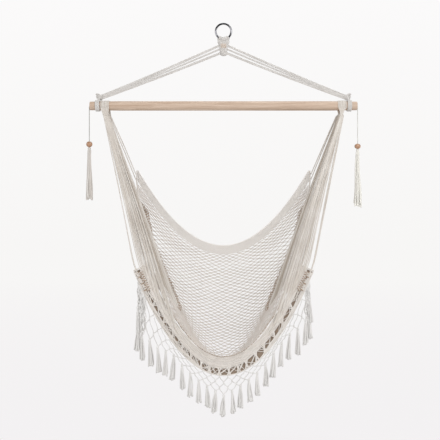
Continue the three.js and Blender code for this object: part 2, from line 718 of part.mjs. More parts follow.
// A tassel of the fringe, hanging from a point of the lace.
function fringeTassel(point) {
  const knot = FRINGE_KNOT_DIAMETER;
  const wide = FRINGE_TASSEL_DIAMETER;
  const levels = FRINGE_KNOT_SHARES.map(([rise, share]) => [knot * rise, knot * share]);
  levels.push([-FRINGE_TASSEL_LENGTH, wide]);
  const sections = levels.map(([z, width]) => ({ z, width, thickness: width }));
  return stack(sections, FRINGE_SIDES).translate(point.x, point.y, point.z);
}

// The knotted lace with its tassels, which are tied of its own cords, as one piece.
function addFringe() {
  const atBorder = (j) => (j === 0 ? LACE_EDGE_STRAND_SHARE : j === LACE_ROWS ? null : 1);
  const cells = diamondCells(LACE_COLUMNS, LACE_ROWS, LACE_STRAND_SHARE, atBorder);
  const place = (u, v, height) => lacePoint(u, v).add(new THREE.Vector3(0, height, 0));
  let fringe = toManifold(sheet(cells, place, LACE_THICKNESS));
  for (let i = 0; i < LACE_COLUMNS; i++) {
    const point = lacePoint((i + 0.5) / LACE_COLUMNS, 1);
    fringe = fringe.add(toManifold(fringeTassel(point)));
  }
  addPiece('front_fringe', fromManifold(fringe), COTTON);
}

// The pendant's cord comes out of the hole in the bar's end and bends down along it.
function addPendantCord(side, sign, low) {
  const half = BAR_LENGTH / 2;
  const bend = PENDANT_BEND_RADIUS;
  const inner = half - PENDANT_INSET;
  const points = [new THREE.Vector3(sign * (inner - PENDANT_INSET), 0, BAR_Z + PENDANT_LIFT)];
  for (let i = 0; i <= PENDANT_BEND_STEPS; i++) {
    const angle = (Math.PI / 2) * (i / PENDANT_BEND_STEPS);
    const x = sign * (inner + bend * Math.sin(angle));
    points.push(new THREE.Vector3(x, 0, BAR_Z + PENDANT_LIFT - bend * (1 - Math.cos(angle))));
  }
  const last = points[points.length - 1];
  for (const share of PENDANT_FALL_SHARES) {
    points.push(last.clone().lerp(new THREE.Vector3(last.x, 0, low), share));
  }
  const curve = new THREE.CatmullRomCurve3(points, false, 'centripetal');
  addPiece(`pendant_cord_${side}`, cord(curve, PENDANT_CORD_DIAMETER, PENDANT_SIDES, PENDANT_STEPS), COTTON);
  return last.x;
}

// A turned bead with a bore. Returns the height of its flat bottom.
function addBead(name, x, z, height) {
  const bore = BEAD_BORE_DIAMETER / 2;
  const profile = [];
  const edge = Math.asin(Math.min(1, (bore + BEAD_HOLE_EDGE) / (BEAD_DIAMETER / 2)));
  for (let i = 0; i <= BEAD_STEPS; i++) {
    const angle = edge + (i / BEAD_STEPS) * (Math.PI - 2 * edge);
    profile.push(new THREE.Vector2((Math.sin(angle) * BEAD_DIAMETER) / 2, (-Math.cos(angle) * height) / 2));
  }
  const [first, last] = [profile[0], profile[profile.length - 1]];
  profile.push(new THREE.Vector2(bore, last.y), new THREE.Vector2(bore, first.y), first.clone());
  const bead = new THREE.LatheGeometry(profile, BEAD_SIDES);
  bead.rotateX(Math.PI / 2);
  bead.translate(x, 0, z);
  addPiece(name, closed(bead), BEAD_WOOD);
  return z - (Math.cos(edge) * height) / 2;
}

// A round piece of a pendant between two heights, from its widths at shares of the way down.
function addPendantStack(name, x, high, low, widths) {
  const sections = widths.map(([down, width]) => ({
    x,
    z: THREE.MathUtils.lerp(high, low, down),
    width,
    thickness: width,
  }));
  addPiece(name, stack(sections, NECK_SIDES), COTTON);
}

// A pendant: a cord with a bead on it, a knot that stops the bead, and a tassel tied under the knot.
function addPendant(side, sign) {
  const { beadDrop, beadHeight, tasselEnd, tasselDiameter } = PENDANTS[side];
  const x = sign * (BAR_LENGTH / 2 - PENDANT_INSET + PENDANT_BEND_RADIUS);
  const beadLow = addBead(`pendant_bead_${side}`, x, BAR_Z - beadDrop, beadHeight);
  const cordLow = beadLow - GAP / 2;
  const knotTop = beadLow - GAP;
  const knotLow = knotTop - PENDANT_KNOT_HEIGHT;
  addPendantCord(side, sign, cordLow);
  const knotWidth = PENDANT_KNOT_DIAMETER;
  const knotWidths = PENDANT_KNOT_SHARES.map(([down, share]) => [down, share * knotWidth]);
  addPendantStack(`pendant_knot_${side}`, x, cordLow - GAP, knotLow, knotWidths);
  const tasselWidths = PENDANT_HEAD_SHARES.map(([down, share]) => [down, share * PENDANT_HEAD_DIAMETER]);
  tasselWidths.push([1, tasselDiameter]);
  addPendantStack(`pendant_tassel_${side}`, x, knotLow - GAP, BAR_Z - tasselEnd, tasselWidths);
}

addRing();
const hitchReach = addRingHitch();
const neckTop = addNeck(hitchReach);
addBar();
for (const [side, sign] of Object.entries(SIDES)) {
  const reach = SUSPENSION_HITCH_REACH;
  const wound = addBarWinding(`suspension_hitch_${side}`, sign, reach, SUSPENSION_HITCH_TURNS);
  const looped = addBarWinding(`clew_loop_${side}`, sign, CLEW_REACH, CLEW_TURNS);
  const knotLow = addSuspensionKnot(`suspension_knot_${side}`, sign, Math.max(wound, looped));
  for (let row = 0; row < SUSPENSION_SEATS.length; row++) {
    addSuspensionCord(`suspension_cord_${side}_${row + 1}`, sign, row, neckTop, knotLow);
  }
  const gatherLow = addClewGather(`clew_gather_${side}`, sign, looped);
  SEAT_CORD_SHARES.forEach((share, i) => {
    addSeatCord(`seat_cord_${side}_${String(i + 1).padStart(2, '0')}`, sign, share, i % 2, gatherLow);
  });
}
addSeat();
addFringe();
for (const [side, sign] of Object.entries(SIDES)) {
  addPendant(side, sign);
}

export default chair;
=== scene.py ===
import math

import bpy
import numpy as np
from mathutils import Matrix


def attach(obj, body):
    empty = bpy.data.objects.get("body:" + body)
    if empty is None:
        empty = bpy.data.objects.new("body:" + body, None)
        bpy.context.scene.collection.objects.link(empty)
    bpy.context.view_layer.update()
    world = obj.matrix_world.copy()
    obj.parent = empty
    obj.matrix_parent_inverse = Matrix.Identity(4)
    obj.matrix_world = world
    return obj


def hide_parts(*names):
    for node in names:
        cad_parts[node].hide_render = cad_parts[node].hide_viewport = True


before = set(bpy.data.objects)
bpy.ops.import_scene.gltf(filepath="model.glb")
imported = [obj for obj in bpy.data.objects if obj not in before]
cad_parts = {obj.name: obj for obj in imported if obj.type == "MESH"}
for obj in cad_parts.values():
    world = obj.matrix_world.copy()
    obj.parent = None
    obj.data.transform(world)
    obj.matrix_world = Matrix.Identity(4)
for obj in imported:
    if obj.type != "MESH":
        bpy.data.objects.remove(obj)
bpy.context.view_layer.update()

# Camera, light and floor. The chair is seen straight from the front, from lap height, and hangs
# free over a pale studio floor, in soft light from the front and above.
CAMERA_PLACE = (-0.013, -3.5, -0.731)
IMAGE_PIXELS = 440
FOCAL_PIXELS = 935.2
SENSOR = 36.0
LAMPS = {  # where it stands, the height that it points at, its width and its watts
    "key_lamp": ((1.7, -2.6, 1.0), -0.8, 1.8, 44),
    "fill_lamp": ((-2.4, -2.4, -0.4), -0.9, 2.0, 18),
    "top_lamp": ((0.2, 0.6, 1.9), -0.8, 1.6, 16),
}
AMBIENT_STRENGTH = 0.7
BACKDROP_RISE = (-0.03, 0.23)
DARK_CEILING = (0.16, 0.4)
DARK_FRONT = (0.5, 0.2)
FLOOR_HEIGHT = -2.1
FLOOR_SIZE = 60.0
FLOOR_FADE = (0.8, 2.6)
FLOOR_FAR = (2.3, 18.0)
FLOOR_MIRRORED = (10.0, 5.0)


def srgb(red, green, blue):
    """A colour as it is seen, from 0 to 255, as the linear colour that nodes take."""
    linear = [((c / 255 + 0.055) / 1.055) ** 2.4 if c > 10 else c / 3294.6 for c in (red, green, blue)]
    return (*linear, 1.0)


def feed(tree, node, sockets):
    """Sets a node's sockets to values, or links them to the outputs that are given instead."""
    for socket, value in sockets.items():
        if isinstance(value, bpy.types.NodeSocket):
            tree.links.new(value, node.inputs[socket])
        else:
            node.inputs[socket].default_value = value


def add_node(tree, kind, sockets=None, **settings):
    """A new shader node with its settings and sockets."""
    node = tree.nodes.new("ShaderNode" + kind)
    for setting, value in settings.items():
        setattr(node, setting, value)
    feed(tree, node, sockets or {})
    return node


def calculate(tree, operation, first, second=0.0):
    """The result of a Math node."""
    return add_node(tree, "Math", {0: first, 1: second}, operation=operation).outputs[0]


def rise(tree, value, span, **settings):
    """How far a value lies along a span: 0 up to its start, and 1 from its end on."""
    sockets = {"Value": value, "From Min": span[0], "From Max": span[1]}
    return add_node(tree, "MapRange", sockets, **settings).outputs[0]


def blend(tree, share, first, second, **settings):
    """A share of the second colour, mixed into the first or laid over it as the settings say."""
    sockets = {"Factor": share, "A": first, "B": second}
    return add_node(tree, "Mix", sockets, data_type="RGBA", **settings).outputs["Result"]


def seen_directly(tree):
    """1 for a ray from the camera, also by way of metal or glass, and 0 for what lights things."""
    path = add_node(tree, "LightPath").outputs
    mirrored = calculate(tree, "MAXIMUM", path["Is Glossy Ray"], path["Is Transmission Ray"])
    return calculate(tree, "MAXIMUM", path["Is Camera Ray"], mirrored)


camera = bpy.data.objects.new("camera", bpy.data.cameras.new("camera"))
camera.location = CAMERA_PLACE
camera.rotation_euler = (math.radians(90), 0, 0)
camera.data.sensor_width = SENSOR
camera.data.lens = FOCAL_PIXELS / IMAGE_PIXELS * SENSOR
bpy.context.scene.collection.objects.link(camera)
bpy.context.scene.camera = camera
bpy.context.scene.view_settings.view_transform = "Standard"

for name, ((x, y, z), aim, size, watts) in LAMPS.items():
    lamp = bpy.data.objects.new(name, bpy.data.lights.new(name, "AREA"))
    lamp.data.shape = "SQUARE"
    lamp.data.size = size
    lamp.data.energy = watts
    lamp.location = (x, y, z)
    lamp.rotation_euler = (math.atan2(math.hypot(x, y), z - aim), 0, math.atan2(y, x) + math.pi / 2)
    bpy.context.scene.collection.objects.link(lamp)

# the world: steel mirrors a dark ceiling and a dark front, and the backdrop's pale sides
world = bpy.data.worlds.new("studio")
bpy.context.scene.world = world
world.use_nodes = True
tree = world.node_tree
tree.nodes.clear()
way = add_node(tree, "SeparateXYZ", {0: add_node(tree, "TexCoord").outputs["Generated"]}).outputs
pale = blend(tree, rise(tree, way["Z"], BACKDROP_RISE), srgb(247, 246, 245), srgb(251, 250, 250))
dark_front = rise(tree, calculate(tree, "ABSOLUTE", way["X"]), DARK_FRONT)
dark = calculate(tree, "MAXIMUM", rise(tree, way["Z"], DARK_CEILING), dark_front)
mirrored = calculate(tree, "MULTIPLY", dark, add_node(tree, "LightPath").outputs["Is Glossy Ray"])
backdrop = add_node(tree, "Background", {"Color": blend(tree, mirrored, pale, srgb(14, 14, 15))})
ambient = add_node(tree, "Background", {"Color": srgb(250, 249, 247), "Strength": AMBIENT_STRENGTH})
mix = add_node(tree, "MixShader", {0: seen_directly(tree), 1: ambient.outputs[0], 2: backdrop.outputs[0]})
add_node(tree, "OutputWorld", {0: mix.outputs[0]})

# the floor: painted near the chair, plain pale farther out, and dark where steel mirrors it
bpy.ops.object.select_all(action="DESELECT")
bpy.ops.mesh.primitive_plane_add(size=FLOOR_SIZE, location=(0, 0, FLOOR_HEIGHT))
floor = bpy.context.object
floor.name = "floor"
floor_finish = bpy.data.materials.new("floor")
floor_finish.use_nodes = True
tree = floor_finish.node_tree
tree.nodes.clear()
place = add_node(tree, "TexCoord").outputs["Object"]
distance = add_node(tree, "VectorMath", {0: place}, operation="LENGTH").outputs["Value"]
pale = blend(tree, rise(tree, distance, FLOOR_FAR), srgb(243, 241, 242), srgb(247, 246, 245))
glossy = add_node(tree, "LightPath").outputs["Is Glossy Ray"]
mirrored = calculate(tree, "MULTIPLY", rise(tree, distance, FLOOR_MIRRORED), glossy)
plain = add_node(tree, "Emission", {"Color": blend(tree, mirrored, pale, srgb(24, 24, 25))})
faded = rise(tree, distance, FLOOR_FADE, interpolation_type="SMOOTHSTEP")
share = calculate(tree, "MULTIPLY", calculate(tree, "MAXIMUM", faded, mirrored), seen_directly(tree))
painted = add_node(tree, "BsdfPrincipled", {"Base Color": srgb(244, 243, 243), "Roughness": 0.8})
mix = add_node(tree, "MixShader", {0: share, 1: painted.outputs[0], 2: plain.outputs[0]})
add_node(tree, "OutputMaterial", {0: mix.outputs[0]})
floor.data.materials.append(floor_finish)

# The hanging ring is bent from polished steel wire and butt-welded where the ropes hide the joint.
# The hook that holds the chair touches its inner top, which is the origin.
RING_RADIUS = 0.029
RING_WIRE = 0.007
RING_CENTRE = RING_WIRE / 2 - RING_RADIUS
WELD_SWELL = 1.1
WELD_HALF_LENGTH = 0.002


def choose(piece, kind, test):
    """Selects only the faces or vertices of a piece that pass a test, in edit mode."""
    bpy.ops.object.mode_set(mode="EDIT")
    bpy.ops.mesh.select_mode(type=kind)
    bpy.ops.mesh.select_all(action="DESELECT")
    bpy.ops.object.mode_set(mode="OBJECT")
    for part in piece.data.polygons if kind == "FACE" else piece.data.vertices:
        part.select = test(part)
    bpy.ops.object.mode_set(mode="EDIT")


def new_material(name, roughness):
    """A material with a Principled shader, with its node tree and that shader."""
    material = bpy.data.materials.new(name)
    material.use_nodes = True
    shader = material.node_tree.nodes["Principled BSDF"]
    shader.inputs["Roughness"].default_value = roughness
    return material, material.node_tree, shader


def noise(tree, vector, scale, detail=2.0, distortion=0.0):
    """The value of a noise texture."""
    sockets = {"Vector": vector, "Scale": scale, "Detail": detail, "Distortion": distortion}
    return add_node(tree, "TexNoise", sockets).outputs["Fac"]


def relief(tree, height, strength, depth):
    """The normal of a surface that a height raises and lowers by up to a depth."""
    sockets = {"Strength": strength, "Distance": depth, "Height": height}
    return add_node(tree, "Bump", sockets).outputs["Normal"]


def finish_piece(piece, name, material, body, slot, *cad_nodes):
    """Names a piece and gives it its material, the body it moves with and the solids it stands for."""
    piece.name = name
    piece.data.name = name
    piece.data.materials.clear()
    piece.data.materials.append(material)
    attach(piece, body)
    if cad_nodes:
        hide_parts(*cad_nodes)
    return piece


bpy.ops.object.select_all(action="DESELECT")
bpy.ops.mesh.primitive_torus_add(
    major_radius=RING_RADIUS, minor_radius=RING_WIRE / 2, major_segments=120, minor_segments=24
)
ring = bpy.context.object
choose(ring, "VERT", lambda vertex: vertex.co.y < 0 and abs(vertex.co.x) < WELD_HALF_LENGTH)
bpy.ops.transform.resize(value=(1, WELD_SWELL, WELD_SWELL), center_override=(0, -RING_RADIUS, 0))
bpy.ops.object.mode_set(mode="OBJECT")
ring.rotation_euler = (math.radians(90), 0, 0)
ring.location = (0, 0, RING_CENTRE)
bpy.ops.object.transform_apply(location=True, rotation=True, scale=True)
bpy.ops.object.shade_smooth()
steel, tree, shader = new_material("polished_steel", 0.1)
scratches = noise(tree, add_node(tree, "TexCoord").outputs["Object"], 420.0, 4.0)
feed(tree, shader, {
    "Metallic": 1.0,
    "Base Color": blend(tree, scratches, srgb(144, 144, 149), srgb(164, 164, 168)),
    "Normal": relief(tree, scratches, 0.06, 0.0004),
})
finish_piece(ring, "ring", steel, "ring", "ring_steel", "hanging_ring")

# The ropes of both sides are passed round the bottom of the ring. They show there as a short
# winding of laid cotton rope.
HITCH_ROPE = 0.0046
HITCH_TURNS = 10
HITCH_ARC = math.radians(76)
HITCH_SLACK = 0.0002
GAP = 0.00035
FIBRE_SCALE = 1600.0
LOBE_DEPTH = 0.16
TIP_ROUNDING = 0.25


def points_of(x, y, z):
    """Points from their coordinates, each an array of numbers or one number for all the points."""
    return np.stack(np.broadcast_arrays(x, y, z), axis=-1)


def unit(vectors):
    """The vectors at length 1."""
    return vectors / np.maximum(np.linalg.norm(vectors, axis=-1, keepdims=True), 1e-12)


def distances(line):
    """How far along a line each of its points lies."""
    return np.concatenate([[0], np.cumsum(np.linalg.norm(np.diff(line, axis=0), axis=1))])


def mesh_piece(name, points, faces, maps):
    """A smooth piece of points and faces, with the map Yarn at its faces' corners."""
    mesh = bpy.data.meshes.new(name)
    mesh.from_pydata(points, [], faces)
    mesh.uv_layers.new(name="Yarn").data.foreach_set("uv", np.array(maps, np.float32).ravel())
    mesh.shade_smooth()
    piece = bpy.data.objects.new(name, mesh)
    bpy.context.scene.collection.objects.link(piece)
    return piece


def lay_cords(name, lines, diameter, material, body, slot, *cad_nodes, sides=8, lobes=0, lay=0.02):
    """A finished piece of cords along lines of points. diameter is a number, a row of numbers along
    a line, or a list with one of these for each line. lobes and lay give a cord's twisted strands and
    the length of one twist. The map Yarn holds the metres along a cord and the share of the way
    round it."""
    points, faces, maps = [], [], []
    angles = 2 * np.pi * np.arange(sides) / sides
    for number, line in enumerate(lines):
        line = np.asarray(line, float)
        count = len(line)
        width = np.broadcast_to(diameter[number] if isinstance(diameter, list) else diameter, count)
        along = distances(line)
        tangents = unit(np.gradient(line, axis=0))
        side = np.cross(tangents[0], (0.31, 0.83, 0.46))
        start = len(points)
        for i in range(count):
            side = unit(side - tangents[i] * side.dot(tangents[i]))
            up = np.cross(tangents[i], side)
            twist = angles - 2 * np.pi * along[i] / lay
            reach = 1 - LOBE_DEPTH * (1 - np.abs(np.cos(twist * lobes / 2)))
            ring = np.outer(np.cos(angles) * reach, side) + np.outer(np.sin(angles) * reach, up)
            points.extend((line[i] + ring * width[i] / 2).tolist())
        for i in range(count - 1):
            a, b = start + i * sides, start + (i + 1) * sides
            for k in range(sides):
                n = (k + 1) % sides
                faces.append((a + k, a + n, b + n, b + k))
                low, high = k / sides, (k + 1) / sides
                maps += [(along[i], low), (along[i], high), (along[i + 1], high), (along[i + 1], low)]
        for i, sign in ((0, -1), (count - 1, 1)):
            tip = len(points)
            points.append((line[i] + sign * tangents[i] * width[i] * TIP_ROUNDING).tolist())
            a = start + i * sides
            for k in range(sides):
                n = (k + 1) % sides
                faces.append((a + n, a + k, tip) if sign < 0 else (a + k, a + n, tip))
                maps += [(along[i], k / sides)] * 3
    piece = mesh_piece(name, points, faces, maps)
    return finish_piece(piece, name, material, body, slot, *cad_nodes)


# the lay of a cotton cord: its twisted strands, their loose fibres and how its tone varies
yarn = bpy.data.node_groups.new("Cotton lay", "ShaderNodeTree")
for socket in ("Twists per metre", "Strands", "Fibre scale"):
    yarn.interface.new_socket(socket, in_out="INPUT", socket_type="NodeSocketFloat")
for socket in ("Height", "Ridge", "Tone"):
    yarn.interface.new_socket(socket, in_out="OUTPUT", socket_type="NodeSocketFloat")
given = yarn.nodes.new("NodeGroupInput").outputs
chart = add_node(yarn, "SeparateXYZ", {0: add_node(yarn, "UVMap", uv_map="Yarn").outputs[0]}).outputs
turns = calculate(yarn, "MULTIPLY", chart["X"], given["Twists per metre"])
turns = calculate(yarn, "MULTIPLY", calculate(yarn, "SUBTRACT", chart["Y"], turns), given["Strands"])
ridge = calculate(yarn, "ABSOLUTE", calculate(yarn, "SINE", calculate(yarn, "MULTIPLY", turns, math.pi)))
ridge = calculate(yarn, "POWER", ridge, 0.6)
place = add_node(yarn, "TexCoord").outputs["Object"]
fibres = calculate(yarn, "MULTIPLY", noise(yarn, place, given["Fibre scale"], 3.0), 0.16)
each_cord = add_node(yarn, "NewGeometry").outputs["Random Per Island"]
tone = calculate(yarn, "ADD", noise(yarn, place, 14.0), calculate(yarn, "MULTIPLY", each_cord, 0.6))
made = {"Height": calculate(yarn, "ADD", ridge, fibres), "Ridge": ridge, "Tone": tone}
feed(yarn, yarn.nodes.new("NodeGroupOutput"), made)


def cotton(name, colour, groove_shade, twists, strands, depth, worn=(242, 238, 234)):
    """Matt twisted cotton: painted shade in the grooves between its strands, colour on their backs and a
    worn tint in patches."""
    material, tree, shader = new_material(name, 0.92)
    sockets = {"Twists per metre": twists, "Strands": strands, "Fibre scale": FIBRE_SCALE}
    lay = add_node(tree, "Group", sockets, node_tree=yarn).outputs
    # the grooves take the darker groove colour: painted shade between the strands, laid on by the ridge
    strand = blend(tree, rise(tree, lay["Ridge"], (0, 0.55)), srgb(*groove_shade), srgb(*colour))
    feed(tree, shader, {
        "Specular IOR Level": 0.2,
        "Sheen Weight": 0.25,
        "Sheen Roughness": 0.6,
        "Base Color": blend(tree, lay["Tone"], strand, srgb(*worn), blend_type="MULTIPLY"),
        "Normal": relief(tree, lay["Height"], 0.5, depth),
    })
    return material


rope_cotton = cotton("laid_rope", (218, 216, 214), (207, 204, 201), 75, 3, 0.00016, (242, 240, 238))
reach = RING_WIRE / 2 + GAP + HITCH_ROPE / 2 + HITCH_SLACK
turn = np.linspace(0, HITCH_TURNS * 2 * np.pi, HITCH_TURNS * 32 + 1)
angle = (turn / turn[-1] - 0.5) * HITCH_ARC
out = RING_RADIUS + reach * np.cos(turn)
winding = points_of(out * np.sin(angle), reach * np.sin(turn), RING_CENTRE - out * np.cos(angle))
lay_cords("rope_on_ring", [winding], HITCH_ROPE, rope_cotton, "hitch", "rope", "ring_hitch", sides=12)
HITCH_REACH = RING_RADIUS + reach + HITCH_ROPE / 2

# The neck gathers the ropes under the ring. They hang from the winding, packed round a core. A
# thin cotton cord is whipped round their lower end, and above it tan cords lie over both faces.
NECK_TOP = RING_CENTRE - HITCH_REACH - 0.0001
NECK_HEIGHT = 0.051
NECK_SECTIONS = (  # the share of the height from the top, with the width and the thickness there
    (0, 0.040, 0.0152), (0.08, 0.044, 0.019), (0.22, 0.031, 0.019),
    (0.7, 0.0291, 0.019), (0.8, 0.022, 0.0171), (1, 0.0176, 0.0143),
)
NECK_ROPES = 17
NECK_ROPE = 0.0054
NECK_HALF_TOP = 0.018
NECK_CORE = (-0.006, 0, 0.006)
NECK_STEPS = 40
WHIPPING = 0.0022
WHIPPING_TURNS = 5
WHIPPING_OVAL = (0.0227, 0.0187)
WHIPPING_SHARE = 0.9
WHIPPING_HEIGHT = 0.01012
TIE_CORD = 0.00396
TIE_PITCH = 0.00418
TIE_SHARES = (0.2, 0.48)


def neck_section(down):
    """The neck's width and thickness at a share of its height from its top."""
    shares, widths, thicknesses = zip(*NECK_SECTIONS)
    return np.interp(down, shares, widths), np.interp(down, shares, thicknesses)


lines = []
for i in range(NECK_ROPES):
    angle = 2 * math.pi * (i + 0.5) / NECK_ROPES
    begin = HITCH_REACH - math.sqrt(HITCH_REACH ** 2 - (NECK_HALF_TOP * math.cos(angle)) ** 2)
    down = np.linspace(-begin / NECK_HEIGHT - 0.05, 1.03, NECK_STEPS)
    width, thickness = neck_section(np.clip(down, 0.04, 1))
    x = (width - NECK_ROPE) / 2 * math.cos(angle)
    y = (thickness - NECK_ROPE) / 2 * math.sin(angle)
    lines.append(points_of(x, y, NECK_TOP - down * NECK_HEIGHT))
down = np.linspace(-0.02, 1.03, NECK_STEPS)
lines += [points_of(x, 0, NECK_TOP - down * NECK_HEIGHT) for x in NECK_CORE]
thick = NECK_ROPE * (1 + 0.35 * np.clip((0.65 - np.linspace(0, 1, NECK_STEPS)) / 0.45, 0, 1))
lay_cords("neck_ropes", lines, thick, rope_cotton, "hanger", "rope", "neck_gather", sides=12)
turn = np.linspace(0, WHIPPING_TURNS * 2 * np.pi, WHIPPING_TURNS * 28 + 1)
width, thickness = WHIPPING_OVAL
z = NECK_TOP - WHIPPING_SHARE * NECK_HEIGHT + WHIPPING_HEIGHT * (0.5 - turn / turn[-1])
whipping = points_of(width / 2 * np.cos(turn), thickness / 2 * np.sin(turn), z)
lay_cords("neck_whipping", [whipping], WHIPPING, rope_cotton, "hanger", "rope")
tan_cotton = cotton("tan_cord", (222, 211, 201), (204, 191, 179), 260, 2, 0.0002)
down = np.linspace(*TIE_SHARES, 12)
proud = neck_section(down)[1] / 2 - WHIPPING * 0.1 + 0.0008 * np.sin(np.linspace(0, np.pi, 12))
lines = []
for x in np.arange(-2, 3) * TIE_PITCH:
    lines += [points_of(x, face * proud, NECK_TOP - down * NECK_HEIGHT) for face in (-1, 1)]
lay_cords("neck_tie", lines, TIE_CORD, tan_cotton, "hanger", "rope")

# The spreader bar is of pale wood, round and slightly tapered to both ends, with a blind hole in
# each end for the pendant's cord. It is turned, sanded and left unvarnished.
BAR_HEIGHT = -0.304
BAR_HALF = 0.5
BAR_RADIUS = 0.0175
BAR_END_RADIUS = 0.016
BAR_TAPER = 0.11
BAR_ROUNDING = 0.002
BAR_HOLE_RADIUS = 0.0035
BAR_HOLE_DEPTH = 0.014
BAR_HOLE_CHAMFER = 0.001
BAR_SIDES = 48


def move_end(way, shift, scale):
    """Extrudes the chosen faces at the bar's end by shift along way and scales them."""
    bpy.ops.mesh.extrude_region_move(TRANSFORM_OT_translate={"value": (way * shift, 0, 0)})
    if scale != 1:
        bpy.ops.transform.resize(value=(1, scale, scale), center_override=(0, 0, 0))


def close_up(piece, place, angle):
    """Merges doubles, turns the faces outward, moves the piece to its place and shades it smooth."""
    bpy.ops.object.mode_set(mode="EDIT")
    bpy.ops.mesh.select_all(action="SELECT")
    bpy.ops.mesh.remove_doubles(threshold=0.00001)
    bpy.ops.mesh.normals_make_consistent(inside=False)
    bpy.ops.object.mode_set(mode="OBJECT")
    piece.location = place
    bpy.ops.object.transform_apply(location=True, rotation=False, scale=False)
    bpy.ops.object.shade_smooth_by_angle(angle=math.radians(angle))


def ramp(tree, value, *stops):
    """The colour that a ramp gives a value. Each stop is a value with its colour."""
    node = add_node(tree, "ValToRGB", {"Fac": value})
    for element, (position, colour) in zip(node.color_ramp.elements, stops):
        element.position = position
        element.color = colour
    return node.outputs["Color"]


bpy.ops.object.select_all(action="DESELECT")
straight = 2 * (BAR_HALF - BAR_TAPER)
bpy.ops.mesh.primitive_cylinder_add(vertices=BAR_SIDES, radius=BAR_RADIUS, depth=straight,
                                    rotation=(0, math.radians(90), 0))
bar = bpy.context.object
bpy.ops.object.transform_apply(location=False, rotation=True, scale=False)
hole_rim = BAR_HOLE_RADIUS + BAR_HOLE_CHAMFER
for way in (-1, 1):
    choose(bar, "FACE", lambda face: face.normal.x * way > 0.9)
    move_end(way, BAR_TAPER - BAR_ROUNDING, BAR_END_RADIUS / BAR_RADIUS)
    move_end(way, BAR_ROUNDING * 0.6, 1 - BAR_ROUNDING * 0.3 / BAR_END_RADIUS)
    move_end(way, BAR_ROUNDING * 0.4, 1 - BAR_ROUNDING * 0.7 / BAR_END_RADIUS)
    bpy.ops.mesh.inset(thickness=BAR_END_RADIUS - BAR_ROUNDING - hole_rim, depth=0)
    move_end(-way, BAR_HOLE_CHAMFER, BAR_HOLE_RADIUS / hole_rim)
    move_end(-way, BAR_HOLE_DEPTH - BAR_HOLE_CHAMFER, 1)
close_up(bar, (0, 0, BAR_HEIGHT), 35)

bar_wood, tree, shader = new_material("bar_wood", 0.62)
place = add_node(tree, "TexCoord").outputs["Object"]
along_grain = add_node(tree, "Mapping", {"Vector": place, "Scale": (1.6, 34, 34)}).outputs[0]
along_pores = add_node(tree, "Mapping", {"Vector": place, "Scale": (5, 260, 260)}).outputs[0]
grain = noise(tree, along_grain, 3.2, 6.0, 0.6)
grain_colour = ramp(tree, grain, (0.3, srgb(196, 171, 150)), (0.7, srgb(225, 206, 189)))
pores = noise(tree, along_pores, 2.0, 3.0)
pore_share = calculate(tree, "MULTIPLY", pores, 0.5)
feed(tree, shader, {
    "Base Color": blend(tree, pore_share, grain_colour, srgb(213, 196, 183), blend_type="MULTIPLY"),
    "Normal": relief(tree, pores, 0.25, 0.0004),
})
finish_piece(bar, "bar", bar_wood, "hanger", "bar_wood", "spreader_bar")

# The suspension ropes, three of laid cotton on each side, run from the neck to the bar. There they
# end in a knot and in a winding round the bar.
SUSPENSION_STRANDS = (2, 1, 2)
SUSPENSION_STRAND = 0.0050
SUSPENSION_SINGLE = 0.0062
SUSPENSION_STARTS = (0.012673, 0.012673, 0.008326)
SUSPENSION_TOP = 0.014
SUSPENSION_PITCH = 0.014
SUSPENSION_END = 0.4545
SUSPENSION_END_PITCH = 0.0048
SUSPENSION_SAG = 0.0025
SUSPENSION_ROLL = 3
KNOT_REACH = 0.462
KNOT_LOW = -0.2813
KNOT_SIZE = (0.026, 0.018, 0.021)
KNOT_ROPE = 0.0048
KNOT_TURNS = 3.4
KNOT_CORE = (0.0045, 0.003)
KNOT_TAIL = ((-0.003, 0.004, 0.010, 0.0145), (-0.002, -0.006, -0.007, -0.006), (0.75, 0.98, 1.04, 0.9))
BAR_ROPE = 0.0044
BAR_ROPE_REACH = 0.47
BAR_ROPE_TURNS = 4
BAR_ROPE_SPAN = 0.01628
SIDES = (("left", -1), ("right", 1))


def bar_radius(distance):
    """The bar's radius at a distance from its middle."""
    share = min(max((distance - BAR_HALF + BAR_TAPER) / BAR_TAPER, 0), 1)
    return BAR_RADIUS + (BAR_END_RADIUS - BAR_RADIUS) * share


